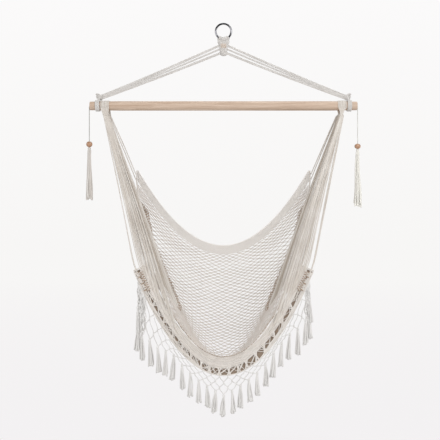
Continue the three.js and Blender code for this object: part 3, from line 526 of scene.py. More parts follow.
for side, sign in SIDES:
    width, thickness, height = KNOT_SIZE
    share = np.linspace(0, 1, 60)
    for row, strands in enumerate(SUSPENSION_STRANDS):
        start = (sign * SUSPENSION_STARTS[row], 0, NECK_TOP - SUSPENSION_TOP - row * SUSPENSION_PITCH)
        end = (sign * SUSPENSION_END, 0, KNOT_LOW + height / 2 + (1 - row) * SUSPENSION_END_PITCH)
        line = np.outer(1 - share, start) + np.outer(share, end)
        line[:, 2] -= 4 * SUSPENSION_SAG * share * (1 - share)
        lines, thick = [line], SUSPENSION_SINGLE
        if strands == 2:
            roll = np.sin(SUSPENSION_ROLL * 2 * np.pi * share + row)
            around = 0.46 * SUSPENSION_STRAND * points_of(0, np.sin(0.35 * roll), np.cos(0.5 * roll))
            lines, thick = [line + around, line - around], SUSPENSION_STRAND
        lay_cords(f"suspension_rope_{side}_{row + 1}", lines, thick, rope_cotton, "hanger", "rope",
                  f"suspension_cord_{side}_{row + 1}", sides=12)

    # the knot: a coil round four upright ropes, a loose tail, and two ropes down to the bar
    x = sign * KNOT_REACH
    turn = np.linspace(0, KNOT_TURNS * 2 * np.pi, 110)
    share = turn / turn[-1]
    swell = 0.62 + 0.38 * np.sin(np.pi * (0.12 + 0.8 * share))
    lines = [points_of(
        x + sign * 0.002 + (width - KNOT_ROPE) / 2 * swell * np.cos(turn),
        (thickness - KNOT_ROPE) / 2 * swell * np.sin(turn),
        KNOT_LOW + KNOT_ROPE / 2 + (height - KNOT_ROPE) * share + 0.0025 * sign * np.cos(turn),
    )]
    for angle in np.radians((45, 135, 225, 315)):
        upright = KNOT_LOW + 0.001 + np.array([0, 0.3, 0.6, 1]) * (height - 0.003)
        lines.append(points_of(x + KNOT_CORE[0] * np.cos(angle), KNOT_CORE[1] * np.sin(angle), upright))
    outward, forward, upward = np.array(KNOT_TAIL)
    lines.append(points_of(x + sign * outward, forward, KNOT_LOW + height * upward))
    foot = bar_radius(BAR_ROPE_REACH) + 0.0014
    on_bar = BAR_HEIGHT + 0.0035 + np.sqrt(foot ** 2 - np.array([0.0001, 0.00018]))
    for k in (-1, 1):
        outward = sign * np.array([-0.004, 0.004 + 0.002 * k, 0.007 + 0.0024 * k, 0.008 + 0.0024 * k])
        forward = [-0.004 + 0.001 * k, -0.008, -0.010, -0.0135]
        upward = [KNOT_LOW + height / 2, KNOT_LOW + 0.004, *on_bar]
        lines.append(points_of(x + outward, forward, upward))
    lay_cords(f"knot_{side}", lines, KNOT_ROPE, rope_cotton, "hanger", "rope",
              f"suspension_knot_{side}", sides=12)

    # the winding round the bar
    reach = bar_radius(BAR_ROPE_REACH - 0.01) + GAP + BAR_ROPE / 2
    turn = np.linspace(0, BAR_ROPE_TURNS * 2 * np.pi, BAR_ROPE_TURNS * 40 + 1)
    x = sign * (BAR_ROPE_REACH + (turn / turn[-1] - 0.5) * BAR_ROPE_SPAN)
    coil = points_of(x, reach * np.sin(turn), BAR_HEIGHT + reach * np.cos(turn))
    lay_cords(f"rope_on_bar_{side}", [coil], BAR_ROPE, rope_cotton, "hanger", "rope",
              f"suspension_hitch_{side}", sides=12)

# The seat hangs as one curved surface. Its rows run from side to side as parabolas, from the
# back edge high behind the bar down and forward to the front edge.
SEAT_REACH = 0.262
SEAT_DROP = 0.964
SEAT_HALF_WIDTH = 0.33
TILT = math.radians(1)
BACK_BAND = 0.054
FRONT_BAND = 0.105
NET_ROWS = np.array([  # the share of the way from back to front, with reach, drop, width and end share
    (0, 0.786, 0.59, 1, 0.496), (0.115, 0.802, 0.669, 0.976, 0.55), (0.24, 0.775, 0.757, 0.894, 0.652),
    (0.373, 0.672, 0.849, 0.758, 0.716), (0.501, 0.489, 0.926, 0.621, 0.767),
    (0.64, 0.198, 0.975, 0.53, 0.797), (0.787, -0.172, 0.979, 0.53, 0.793),
    (0.904, -0.55, 0.962, 0.63, 0.74), (1, -0.859, 0.937, 0.82, 0.652),
])
BACK_EDGE = (0.763, 0.553, 0.994, 0.45)
FRONT_EDGE = (-1, 1, 0.97, 0.632)


def smooth_rows(rows, steps):
    """The rows' values at steps of their first one, on a smooth curve through all the rows."""
    order = np.arange(len(rows))
    low, high = rows[np.maximum(order - 1, 0)], rows[np.minimum(order + 1, order[-1])]
    slopes = (high - low) / (high - low)[:, :1]
    k = np.clip(np.searchsorted(rows[:, 0], steps) - 1, 0, order[-1] - 1)
    a, b = rows[k], rows[k + 1]
    span = (b - a)[:, :1]
    t = (steps[:, None] - a[:, :1]) / span
    ta, tb = slopes[k] * span, slopes[k + 1] * span
    return (a + t * (ta + t * (3 * (b - a) - 2 * ta - tb + t * (2 * (a - b) + ta + tb))))[:, 1:]


ROW_STEPS = np.linspace(0, 1, 801)
ROW_TABLE = smooth_rows(NET_ROWS, ROW_STEPS)


def row_points(rows, side):
    """Points of rows, where side goes from -1 at the left end to 1 at the right end."""
    reach, drop, width, end = rows
    depth = 1 - (1 - end) * side * side
    y, z = reach * SEAT_REACH * depth, -drop * SEAT_DROP * depth
    tilted = math.cos(TILT) * y - math.sin(TILT) * z, math.sin(TILT) * y + math.cos(TILT) * z + BAR_HEIGHT
    return points_of(side * width * SEAT_HALF_WIDTH, *tilted)


def seat_points(u, v):
    """The seat's points. u goes from the left side to the right side. v is 0 to 1 over the net from
    back to front, with the back band below 0 and the front band above 1."""
    u, v = np.broadcast_arrays(np.asarray(u, float), np.asarray(v, float))
    side = 2 * u - 1
    inside = np.clip(v, 0, 1)
    point = row_points([np.interp(inside, ROW_STEPS, ROW_TABLE[:, k]) for k in range(4)], side)
    back = np.clip(-v / BACK_BAND, 0, None)[..., None]
    front = np.clip((v - 1) / FRONT_BAND, 0, None)[..., None]
    point = point + (row_points(BACK_EDGE, side) - point) * back
    return point + (row_points(FRONT_EDGE, side) - point) * front


def seat_lift(u, v, height):
    """Points at a height over the seat's surface, on the side that a person sits on."""
    step = 0.01
    across = seat_points(np.add(u, step), v) - seat_points(np.subtract(u, step), v)
    along = seat_points(u, np.add(v, step)) - seat_points(u, np.subtract(v, step))
    return seat_points(u, v) - unit(np.cross(across, along)) * np.asarray(height)[..., None]


def row_width(v):
    """Half of the seat's width at v, from its middle to its side."""
    return np.interp(np.clip(v, 0, 1), ROW_STEPS, ROW_TABLE[:, 2]) * SEAT_HALF_WIDTH


# The seat's net is worked from thin cotton cords. Each runs from side to side in waves and is
# linked with its two neighbours, which leaves oval holes that are wider than tall. Towards the
# sides the rows run flatter than the bands, so the upper ones start at the back band.
NET_CORD = 0.0029
NET_PITCH = 0.0067
NET_CELL = 0.029
NET_STEPS = 6
NET_MIDDLE_LENGTH = 0.70
NET_FLATTENING = 0.2
NET_LOOSENING = ((0.45, 1), (0.8, 2.4), (0.86, 2.4), (0.97, 1))
NET_UNEVENNESS = (0.86, 1.16)
NET_LAST_ROW = 0.985
NET_SIDE_CELLS = 0.6
NET_END_FADE = 0.012
NET_DRIFT = ((0.22, 1.7, 2.3), (0.13, 4.1, -3.2))  # how far cells drift, and its waves across and down
NET_STEEPNESS = 1.5
NET_LINK = 0.9
NET_LIFT = 0.3


def net_rise(row):
    """How much farther from the back band a row's ends lie than its middle, as a share of v."""
    return NET_FLATTENING * np.clip((1 - row) / 0.5, 0, 1)


def net_place(row, x):
    """u and v of the points at x of a row that crosses the middle at v = row."""
    row, x = np.broadcast_arrays(np.asarray(row, float), np.asarray(x, float))
    low, high = np.zeros(x.shape), np.ones(x.shape)
    for _ in range(22):
        side = (low + high) / 2
        inside = side * row_width(row + net_rise(row) * side * side) < np.abs(x)
        low, high = np.where(inside, side, low), np.where(inside, high, side)
    side = (low + high) / 2
    return 0.5 + np.sign(x) * side / 2, row + net_rise(row) * side * side


dice = np.random.default_rng(5)
lines = []
row_step = NET_PITCH / NET_MIDDLE_LENGTH
rows = [-NET_FLATTENING + row_step]
while rows[-1] < NET_LAST_ROW:
    loose = np.interp(rows[-1], *zip(*NET_LOOSENING))
    rows.append(rows[-1] + row_step * loose * dice.uniform(*NET_UNEVENNESS))
for number, row in enumerate(rows):
    above = row - rows[number - 1] if number > 0 else row_step
    below = rows[number + 1] - row if number < len(rows) - 1 else above
    row_step = (above + below) / 2
    reach = float(row_width(row + net_rise(row)))
    fine = np.linspace(0, reach, 241)
    steps = np.diff(fine)
    stretch = np.linalg.norm(np.diff(seat_points(*net_place(row, fine)), axis=0), axis=1) / steps
    cells = np.concatenate([[0], np.cumsum(np.maximum(1, NET_SIDE_CELLS * stretch) * steps)]) / NET_CELL
    grid = np.interp(np.arange(0, cells[-1], 1 / NET_STEPS), cells, fine)
    grid = np.concatenate([-grid[:0:-1], grid])
    spans = [(-reach, reach)]
    if row < 0:
        first = math.sqrt(-row / NET_FLATTENING) * float(row_width(0))
        spans = [(-reach, -first), (first, reach)]
    for low, high in spans:
        if high - low < NET_CELL / 2:
            continue
        x = np.concatenate([[low], grid[(grid > low + 0.002) & (grid < high - 0.002)], [high]])
        cell = np.sign(x) * np.interp(np.abs(x), fine, cells) + 0.5 * (number % 2) + 100
        for drift, across, down in NET_DRIFT:
            cell += drift * np.sin(2 * np.pi * (across * x + down * row))
        wave = np.clip(NET_STEEPNESS * (2 * np.abs((cell % 1) * 2 - 1) - 1), -1, 1)
        half = row_step / 2
        next_row = seat_points(*net_place(row + half, x)) - seat_points(*net_place(row - half, x))
        tangent = unit(np.gradient(seat_points(*net_place(row, x)), axis=0))
        pitch = np.linalg.norm(np.cross(next_row, tangent), axis=1)
        share = np.clip((pitch - NET_LINK * NET_CORD) / 2, 0, None) / np.maximum(pitch, 1e-6)
        fade = np.clip(np.minimum(x - low, high - x) / NET_END_FADE, 0, 1)
        u, v = net_place(row + wave * share * fade * np.where(wave > 0, below, above), x)
        lift = NET_LIFT * NET_CORD * np.cos(2 * np.pi * cell) * (1 if number % 2 else -1)
        lines.append(seat_lift(np.clip(u, 0, 1), np.clip(v, 0, 1), lift))
net_cotton = cotton("net_cotton", (232, 227, 223), (207, 200, 194), 300, 2, 0.0003, (240, 236, 232))
net = lay_cords("net", lines, NET_CORD, net_cotton, "seat", "net_cotton", "seat_net", sides=5)

# The back band is woven densely along the net's back edge. Its cords lie side by side, and a
# thicker rope is bound along its outer edge.
BAND_CORD = 0.0036
BAND_THICKNESS = 0.0042
BACK_RIBS = 10
RIB_STEPS = 6
RIB_DEPTH = 0.55
RIM_ROPE = 0.0062


def ribbed_sheet(name, low, high, ribs, thickness, lift, material, *cad_nodes, steps=150):
    """A closed sheet over the seat's surface between two values of v, with rounded ribs along it."""
    share = np.linspace(0, 1, ribs * RIB_STEPS + 1)
    ridge = np.abs(np.sin(np.pi * share * ribs)) ** 0.7
    grid_u, grid_share = np.meshgrid(np.linspace(0, 1, steps + 1), share, indexing="ij")
    low, high = (np.broadcast_to(np.reshape(edge, (-1, 1)), grid_u.shape) for edge in (low, high))
    v = low + (high - low) * grid_share
    half = thickness / 2 * (1 - RIB_DEPTH * (1 - ridge))[None, :]
    skins = [seat_lift(grid_u, v, lift + sign * half) for sign in (1, -1)]
    rows, columns = grid_u.shape
    along = distances(skins[0][:, columns // 2])
    faces, maps = [], []

    def add(corners):
        faces.append([r * columns + c + k * rows * columns for r, c, k in corners])
        maps.extend((along[r], c / RIB_STEPS) for r, c, k in corners)

    for r in range(rows - 1):
        for c in range(columns - 1):
            add([(r, c, 0), (r, c + 1, 0), (r + 1, c + 1, 0), (r + 1, c, 0)])
            add([(r, c, 1), (r + 1, c, 1), (r + 1, c + 1, 1), (r, c + 1, 1)])
        for c in (0, columns - 1):
            corners = [(r, c, 0), (r + 1, c, 0), (r + 1, c, 1), (r, c, 1)]
            add(corners if c == 0 else corners[::-1])
    for c in range(columns - 1):
        for r in (0, rows - 1):
            corners = [(r, c, 0), (r, c, 1), (r, c + 1, 1), (r, c + 1, 0)]
            add(corners if r == 0 else corners[::-1])
    points = np.concatenate([skin.reshape(-1, 3) for skin in skins])
    piece = mesh_piece(name, points.tolist(), faces, maps)
    return finish_piece(piece, name, material, "seat", "band_cotton", *cad_nodes)


band_cotton = cotton("band_cotton", (234, 231, 228), (206, 200, 195), 260, 1, 0.0004)
# the back band's cotton is a lighter copy of the band cotton: painted light on its slanted face
lit_back_cotton = cotton(
    "lit_back_band_cotton", (245, 243, 241), (222, 219, 216), 260, 1, 0.0004, (247, 245, 243)
)
back_band = ribbed_sheet("back_band", -BACK_BAND * 0.96, -0.002, BACK_RIBS, BAND_THICKNESS, 0.0,
                         lit_back_cotton, "back_edge_band")
rim = seat_lift(np.linspace(0, 1, 200), -BACK_BAND, 0.0)
lay_cords("back_rim_rope", [rim], RIM_ROPE, lit_back_cotton, "seat", "band_cotton", sides=12, lobes=3)

# The front band is wider. Its dense part is woven of cords that run along it. Between that and
# its corded edge pairs of crossed cords leave a row of slots, and a lining is turned in behind
# them. The lining's dark colour is painted shade seen through the slots.
BAND_LENGTH = 0.95
FRONT_CORDS = 10
FRONT_RIBS = 8
FRONT_START = 0.06
FRONT_SWAY = 0.011
FRONT_THIN_CORDS = {2: 0.62, 6: 0.62}
SLOTS = 19
SLOT_LOWS = ((0, 0.58), (0.3, 0.6), (0.45, 0.66), (0.7, 0.56), (1, 0.58))
SLOT_CROSS = 0.007
SLOT_UNEVENNESS = 0.006
SLOT_OVERLAP = (0.02, 0.14)
EDGE_CORDS = (0.82, 0.88, 0.94)
EDGE_CORD_REACHES = ((-1, 0.38), (1, 0.3))
FRONT_RIM = 0.0042
LINING_DEPTH = 0.0042
LINING_TURN_IN = 0.1
LINING_END = 0.97
LINING_RIBS = 6
SEAM_STITCH = 0.0022
SEAM_SPAN = (0.1, 0.9)
STITCH_STEP = 0.016
STITCH_LENGTH = 0.0115


def front_v(share):
    """v at a share of the front band's width from the net."""
    return 1 + FRONT_BAND * share


def slot_low(u):
    """The share of the band's width at which its slots begin."""
    return np.interp(u, *zip(*SLOT_LOWS))


def from_end(sign, u):
    """u at a share of the seat's width from its left end, or from its right end if sign is 1."""
    return u if sign < 0 else 1 - u


dice = np.random.default_rng(11)
front_low = front_v(slot_low(np.linspace(0, 1, 181)))
front_band = ribbed_sheet("front_band", front_v(FRONT_START), front_low, FRONT_RIBS, 0.0034, -0.0008,
                          band_cotton, "front_edge_band", steps=180)
lines, widths = [], []
u = np.linspace(0, 1, 260)
for k in range(FRONT_CORDS):
    share = FRONT_START + (slot_low(u) - FRONT_START) * (k + 0.5) / FRONT_CORDS
    sway = 0
    for _ in range(4):
        sway += dice.uniform(0.3, 1) * np.sin(2 * np.pi * (u * dice.uniform(4, 26) + dice.uniform(0, 1)))
    v = front_v(share + FRONT_SWAY * sway)
    lines.append(seat_lift(u, v, 0.0011 + 0.0005 * np.roll(sway, 40)))
    widths.append(BAND_CORD * (0.98 + 0.06 * np.roll(sway, 90)) * FRONT_THIN_CORDS.get(k, 1))
for k, outer in enumerate(EDGE_CORDS):
    for sign, reach in EDGE_CORD_REACHES:
        across = np.linspace(0.004, reach + 0.03 * k, 120)
        turned = np.clip((across - reach + 0.1) / 0.1, 0, 1) ** 2
        v = front_v(outer + (1 - outer) * turned + 0.012 * np.sin(70 * across + 2 * k))
        lines.append(seat_lift(from_end(sign, across), v, 0.0026 - 0.0024 * turned))
        widths.append(BAND_CORD)
lay_cords("front_band_cords", lines, widths, band_cotton, "seat", "band_cotton", sides=6)

lines, widths = [], []
share = np.linspace(0, 1, 12)
for number in range(SLOTS + 1):
    at = np.clip(number / SLOTS + dice.normal(0, SLOT_UNEVENNESS), 0.012, 0.988)
    low = slot_low(at) - dice.uniform(*SLOT_OVERLAP)
    v = front_v(low + (1 - low) * share)
    for way in (-1, 1):
        for beside in (-0.5, 0.5):
            crossing = way * SLOT_CROSS * dice.uniform(0.7, 1.5) * (2 * share - 1)
            u = at + (crossing + beside * BAND_CORD) / BAND_LENGTH
            lines.append(seat_lift(u, v, 0.0016 + 0.001 * way * (1 - share)))
            widths.append(BAND_CORD * (1 if at > 0.62 else 0.85))
    for _ in range(5 if at < 0.42 else 3):
        begin = dice.uniform(0.2, 0.8) / SLOTS
        lean = dice.choice([-1, 1]) * dice.uniform(0.5, 1.3) / SLOTS
        u = np.clip(at + begin + lean * (share - 0.5), 0.01, 0.99)
        lines.append(seat_lift(u, v, -0.0004))
        widths.append(BAND_CORD * dice.uniform(0.5, 0.9))
lay_cords("front_lattice", lines, widths, band_cotton, "seat", "band_cotton")
rim = seat_lift(np.linspace(0, 1, 220), front_v(1.0), 0.0)
lay_cords("front_rim_rope", [rim], FRONT_RIM, band_cotton, "seat", "band_cotton", sides=12, lobes=3)
# the lining's dark brown is painted shade behind the slots
lining_shade_cotton = cotton("lining_shade_cotton", (160, 144, 129), (112, 98, 86), 260, 1, 0.0004)
lining_low = front_v(slot_low(np.linspace(0, 1, 121)) - LINING_TURN_IN)
lining = ribbed_sheet("front_lining", lining_low, front_v(LINING_END), LINING_RIBS, 0.002,
                      -LINING_DEPTH, lining_shade_cotton, steps=120)
# the stitches' brown is painted shade: a dashed shadow line where the band meets the net
seam_shade_cotton = cotton("seam_shade_cotton", (180, 163, 146), (132, 115, 100), 260, 1, 0.0004)
stitches = []
for u in np.arange(*SEAM_SPAN, STITCH_STEP):
    over = 0.001 + 0.0036 * np.clip((abs(2 * u - 1) - 0.4) / 0.1, 0, 1)
    over = over + 0.001 * np.sin(np.linspace(0, np.pi, 6))
    v = front_v(0.03) + dice.normal(0, 0.0008)
    stitches.append(seat_lift(u + np.linspace(0, STITCH_LENGTH, 6), v, over))
lay_cords("front_seam", stitches, SEAM_STITCH, seam_shade_cotton, "seat", "band_cotton", sides=6)

# A side rope runs along each side of the net, and every seat cord ends on it.
# Beside its back part a brown and a light cord are laced round the net's margin; the brown cord's colour
# is painted shade.
SELVEDGE_ROPE = 0.006
LACING_CORD = 0.003
LACING_TURNS = 52
LACING_REACH = 0.0088
LACING_INWARD = 0.0165
LACING_FROM = 0.13
LACING_TO = 0.68
LACING_FADE = 0.12
# the brown cord's colour is painted shade along the net's margin
brown_shade_cotton = cotton("brown_shade_cord", (186, 164, 144), (140, 118, 100), 260, 2, 0.0003)


def side_line(sign):
    """The side rope's line from the back corner to the front corner, with its own outward way."""
    end = (1 + sign) / 2
    v = np.linspace(-BACK_BAND, 1 + FRONT_BAND, 160)
    edge = seat_points(end, v)
    tangent = unit(np.gradient(edge, axis=0))
    across = seat_points(end + 0.01, v) - seat_points(end - 0.01, v)
    outward = sign * unit(across - tangent * np.sum(across * tangent, axis=1)[:, None])
    return edge + outward * (SELVEDGE_ROPE / 2 + 2 * GAP), outward


def share_point(line, share):
    """The point of a line at a share of its length, and its number among the line's points."""
    along = distances(line) / distances(line)[-1]
    point = np.array([np.interp(share, along, line[:, k]) for k in range(3)])
    return point, int(np.searchsorted(along, share))


for side, sign in SIDES:
    line, outward = side_line(sign)
    lay_cords(f"side_rope_{side}", [line], SELVEDGE_ROPE, band_cotton, "seat", "net_cotton",
              f"selvedge_{side}", sides=12, lobes=3)
    shares = np.linspace(LACING_FROM, LACING_TO, LACING_TURNS * 10)
    core = np.array([share_point(line, share)[0] for share in shares])
    steps = np.linspace(0, 1, len(outward))
    out = np.array([np.interp(shares, steps, outward[:, k]) for k in range(3)]).T
    up = np.cross(unit(np.gradient(core, axis=0)), out)
    turn = np.linspace(0, LACING_TURNS * 2 * np.pi, len(shares))
    fade = np.clip(np.minimum(turn, turn[-1] - turn) / (LACING_FADE * turn[-1]), 0, 1)
    fade = np.sin(np.pi / 2 * fade)
    for strand, finish in enumerate((brown_shade_cotton, band_cotton)):
        spin = turn + np.pi * strand + 0.7 * np.sin(turn * 0.21)
        reach = LACING_REACH * (1 + 0.3 * np.sin(turn * 0.137 + strand) * np.sin(turn * 0.311))
        reach *= 0.25 + 0.75 * fade
        inward = LACING_INWARD * fade - reach * np.cos(spin)
        lacing = core - out * inward[:, None] + up * (reach * np.sin(spin))[:, None]
        lay_cords(f"lacing_{side}_{strand + 1}", [lacing], LACING_CORD, finish, "seat", "net_cotton",
                  sides=6)

# Thin cotton cords hang from the bar and spread to the sides of the net. They are looped over the
# bar, gathered under it and end on the side rope.
SEAT_CORD = 0.0038
SEAT_CORD_SHARES = (0.01, 0.085, 0.165, 0.255, 0.35, 0.445, 0.54, 0.63, 0.72, 0.81, 0.9, 0.985)
SEAT_CORD_COUNTS = (2, 1, 1, 2, 2, 3, 3, 4, 4, 5, 5, 9)
SEAT_CORD_BORDERS = (0.004, *((a + b) / 2 for a, b in zip(SEAT_CORD_SHARES, SEAT_CORD_SHARES[1:])), 0.996)
SEAT_CORD_BOW = 0.006
# the cords of each side that take the darker cord cotton, as painted shade lines in the sheaf
SHADED_CORDS = {"left": (2, 5, 9), "right": (5, 8, 10)}
BAND_CORDS = 16
BAND_CORD_REACH = 0.19
FAN_TOP = (0.456, -0.2781)
FAN_PITCH = 0.0075
GATHER_LOW = -0.3417
HANG_STEPS = 90
RUN_STEPS = 22
BEND_ROUNDING = 24
END_LACING_TURNS = 9
END_LACING_REACH = 0.052
END_LACING_CORD = 0.0024
CLEW_REACH = 0.446
CLEW_SHIFT = -0.003
CLEW_LOOPS = 12
CLEW_CORD = 0.0029
CLEW_PITCH = 0.00265
dice = np.random.default_rng(7)
cord_cotton = cotton("cord_cotton", (244, 242, 239), (215, 209, 203), 300, 2, 0.0004, (220, 214, 208))
# a darker copy of the cord cotton: painted shade for the dark lines between the cords
shade_cord_cotton = cotton("shaded_cord_cotton", (213, 206, 198), (178, 168, 158), 300, 2, 0.0004, (222, 216, 209))


def fan_start(sign, target, row):
    """Where the cord to target leaves the gathering, in the fan that spreads from over the bar."""
    reach, height = FAN_TOP
    top = np.array([sign * (reach + (row - 0.5) * FAN_PITCH), 0, height])
    return top + (target - top) * (GATHER_LOW - height) / (target - top)[2]


def hang(start, end, bow, fading=0.0):
    """A cord from start to end with a bow in its middle that fades by a share towards its end."""
    t = np.linspace(0, 1, HANG_STEPS)[:, None]
    return start * (1 - t) + end * t + bow * np.sin(np.pi * t) * (1 - fading * t)


def on_band(sign, u, v):
    """A cord's run over the front band, where it dives between the band's own cords at its end."""
    sink = SEAT_CORD * (0.75 - 1.5 * np.linspace(0, 1, RUN_STEPS) ** 4)
    return seat_lift(from_end(sign, u), v, sink)


def joined(cord, run):
    """A hanging cord that goes over into its run on the front band in a round bend."""
    cord = np.concatenate([cord[:-2], run])
    bend = np.arange(HANG_STEPS - 20, len(cord) - 8)
    for _ in range(BEND_ROUNDING):
        cord[bend] += 0.5 * ((cord[bend - 1] + cord[bend + 1]) / 2 - cord[bend])
    return cord


for side, sign in SIDES:
    line, outward = side_line(sign)
    share = np.linspace(0, 1, RUN_STEPS)
    starts = []
    for n, count in enumerate(SEAT_CORD_COUNTS):
        low, high = SEAT_CORD_BORDERS[n:n + 2]
        cords = []
        for k in range(count):
            beside = (k + 0.5) / count - 0.5
            if n == len(SEAT_CORD_COUNTS) - 1 and beside > 0.18:
                beside = 0.5 - (0.5 - beside) * 0.2
            target, number = share_point(line, low + (high - low) * (beside + 0.5))
            start = fan_start(sign, target, n % 2)
            start[0] += sign * beside * 0.003
            end = target + outward[min(number, len(outward) - 1)] * (SELVEDGE_ROPE / 2 + SEAT_CORD * 0.3)
            bow = dice.normal(0, 1, 3) * SEAT_CORD_BOW * 0.3
            bow[2] = 0
            bow[0] -= sign * SEAT_CORD_BOW * 0.4
            cord = hang(start, end, bow, 0.3)
            v = -BACK_BAND + (1 + BACK_BAND + FRONT_BAND) * number / (len(line) - 1)
            if v > front_v(0.02):
                run = np.linspace(0.004, dice.uniform(0.07, 0.13), RUN_STEPS)
                onto = v + (front_v(0.06 + 0.6 * (v - 1) / FRONT_BAND) - v) * share ** 0.8
                cord = joined(cord, on_band(sign, run, onto))
            cords.append(cord)
            starts.append(start)
        # the chosen cords get the darker copy of the cord cotton, painted shade between the cords
        tone = shade_cord_cotton if n in SHADED_CORDS[side] else cord_cotton
        lay_cords(f"seat_cords_{side}_{n + 1:02d}", cords, SEAT_CORD, tone, "seat", "seat_cord",
                  f"seat_cord_{side}_{n + 1:02d}")

    # the cords that run into the front band beside its end
    cords = []
    for k in range(BAND_CORDS):
        at = 0.004 + BAND_CORD_REACH * (k + dice.uniform(0.2, 0.8)) / BAND_CORDS
        run = at + dice.uniform(0.05, 0.09) * share
        over = on_band(sign, run, front_v(0.05 + dice.uniform(0, 0.25) + 0.25 * share))
        start = fan_start(sign, over[0], 1)
        start[0] += sign * (0.5 - k / BAND_CORDS) * 0.004
        bow = np.array([-sign * SEAT_CORD_BOW, dice.normal(0, 0.004), 0]) * dice.uniform(0.2, 1)
        cords.append(joined(hang(start, over[0], bow), over))
        starts.append(start)
    lay_cords(f"band_cords_{side}", cords, SEAT_CORD, cord_cotton, "seat", "seat_cord")

    # the outer corner of the band is laced to its edge by a brown and a light cord; the brown one's colour
    # is painted shade
    t = np.linspace(0, 1, END_LACING_TURNS * 12)
    for strand, finish in enumerate((brown_shade_cotton, band_cotton)):
        turn = (t * END_LACING_TURNS + 0.5 * strand) % 1
        outer = 0.5 + 0.46 * np.abs(turn * 2 - 1) * (0.75 + 0.25 * np.sin(37 * t + strand))
        height = 0.005 + 0.001 * np.cos(2 * np.pi * turn)
        lacing = seat_lift(from_end(sign, 0.006 + END_LACING_REACH * t), front_v(outer), height)
        lay_cords(f"end_lacing_{side}_{strand + 1}", [lacing], END_LACING_CORD, finish, "seat",
                  "net_cotton", sides=6)

    # the loops over the bar, and the gathered cords under it
    reach = bar_radius(CLEW_REACH) + GAP + CLEW_CORD / 2
    angle = np.radians(np.linspace(-115, 115, 30))
    places = CLEW_REACH + CLEW_SHIFT + (np.arange(CLEW_LOOPS) - (CLEW_LOOPS - 1) / 2) * CLEW_PITCH
    y, z = reach * np.sin(angle), BAR_HEIGHT + reach * np.cos(angle)
    loops = [points_of(x, y, z) for x in sign * places]
    lay_cords(f"loops_on_bar_{side}", loops, CLEW_CORD, cord_cotton, "seat", "seat_cord",
              f"clew_loop_{side}")
    ends = [end for loop in loops for end in (loop[0], loop[-1])]
    ends.sort(key=lambda end: (round(end[1], 4), end[0]))
    starts.sort(key=lambda start: start[1])
    t = np.linspace(0, 1, 14)[:, None]
    gathered = []
    for k, start in enumerate(starts):
        gathered.append(ends[k * len(ends) // len(starts)] * (1 - t) + start * t)
    lay_cords(f"gathered_cords_{side}", gathered, SEAT_CORD, cord_cotton, "seat", "seat_cord",
              f"clew_gather_{side}")

# The fringe is a knotted lace of thin cords under the front band's edge. It is tied in diamonds,
# and at its lower points the cords are knotted into tassels.
LACE_CORD = 0.0032
LACE_COLUMNS = 21
LACE_ROWS = 3
LACE_SPAN = 0.95
LACE_OFF = 0.0027
LACE_DROPS = (
    (0, 0.155), (0.05, 0.15), (0.1, 0.115), (0.15, 0.085), (0.22, 0.036), (0.3, 0.036), (0.4, 0.044),
    (0.46, 0.056), (0.5, 0.067), (0.54, 0.056), (0.6, 0.042), (0.7, 0.036), (0.8, 0.026), (0.86, 0.045),
    (0.92, 0.09), (0.97, 0.115), (1, 0.1),
)
LACE_KNOT = 0.0058
LACE_BEND = (0.0016, 0.0006, 0.0012)
LACE_ENDS = ((0, 15, 0.055), (1, 8, 0.03))  # which end, how many loose cords, and how far in they hang
LOOSE_SWAY = 0.004
FRINGE_KNOT = 0.0105
TASSEL_LENGTH = 0.08
TASSEL_STRANDS = 7
TASSEL_STRAND = 0.0056
TASSEL_SPREAD = 0.0068
TASSEL_START = 0.0014
CORNER_TASSELS = ((0, 0.6), (0.004, 0.98), (1, 0.5), (0.996, 0.98))


def lace_point(u, down):
    """A point of the lace at a share across it and a share of the way down it."""
    across = 0.5 + (u - 0.5) * LACE_SPAN
    edge = seat_points(across, 1 + FRONT_BAND)
    out = unit(edge - seat_points(across, 1))
    return edge + out * LACE_OFF - points_of(0, 0, down * np.interp(across, *zip(*LACE_DROPS)))


def add_ball(lines, widths, place, wide, tall):
    """Adds a small wrapped knot as a short thick line."""
    share = np.linspace(0, 1, 7)
    lines.append(place + np.outer(share - 0.5, (0, 0, -tall)))
    widths.append(wide * (0.45 + 0.55 * np.sin(np.pi * share) ** 0.6))


dice = np.random.default_rng(23)
lines, widths = [], []
for j in range(LACE_ROWS + 1):
    for i in range(j % 2, 2 * LACE_COLUMNS + 1, 2):
        here = lace_point(i / (2 * LACE_COLUMNS), j / LACE_ROWS)
        if 0 < j < LACE_ROWS:
            add_ball(lines, widths, here, LACE_KNOT, LACE_KNOT * 1.2)
        for way in (-1, 1):
            if j == LACE_ROWS or not 0 <= i + way <= 2 * LACE_COLUMNS:
                continue
            below = lace_point((i + way) / (2 * LACE_COLUMNS), (j + 1) / LACE_ROWS)
            t = np.linspace(0, 1, 9)
            bulge = np.sin(np.pi * t)
            bend = LACE_BEND * points_of(way * np.sin(2 * np.pi * t), way * bulge, bulge)
            lines.append(np.outer(1 - t, here) + np.outer(t, below) - bend)
            widths.append(LACE_CORD)
for end, many, reach in LACE_ENDS:
    for _ in range(many):
        down = np.linspace(0, dice.uniform(0.7, 1), 30)
        line = lace_point(abs(end - dice.uniform(0, reach)), down)
        for k in range(2):
            sway = np.sin(down * dice.uniform(9, 16) + dice.uniform(0, 6)) * np.minimum(down * 5, 1)
            line[:, k] += LOOSE_SWAY * sway + dice.normal(0, 0.001)
        lines.append(line)
        widths.append(LACE_CORD * 1.2)
tops = [lace_point((i + 0.5) / LACE_COLUMNS, 1) for i in range(LACE_COLUMNS)]
tops += [lace_point(*place) for place in CORNER_TASSELS]
t = np.linspace(0, 1, 14)
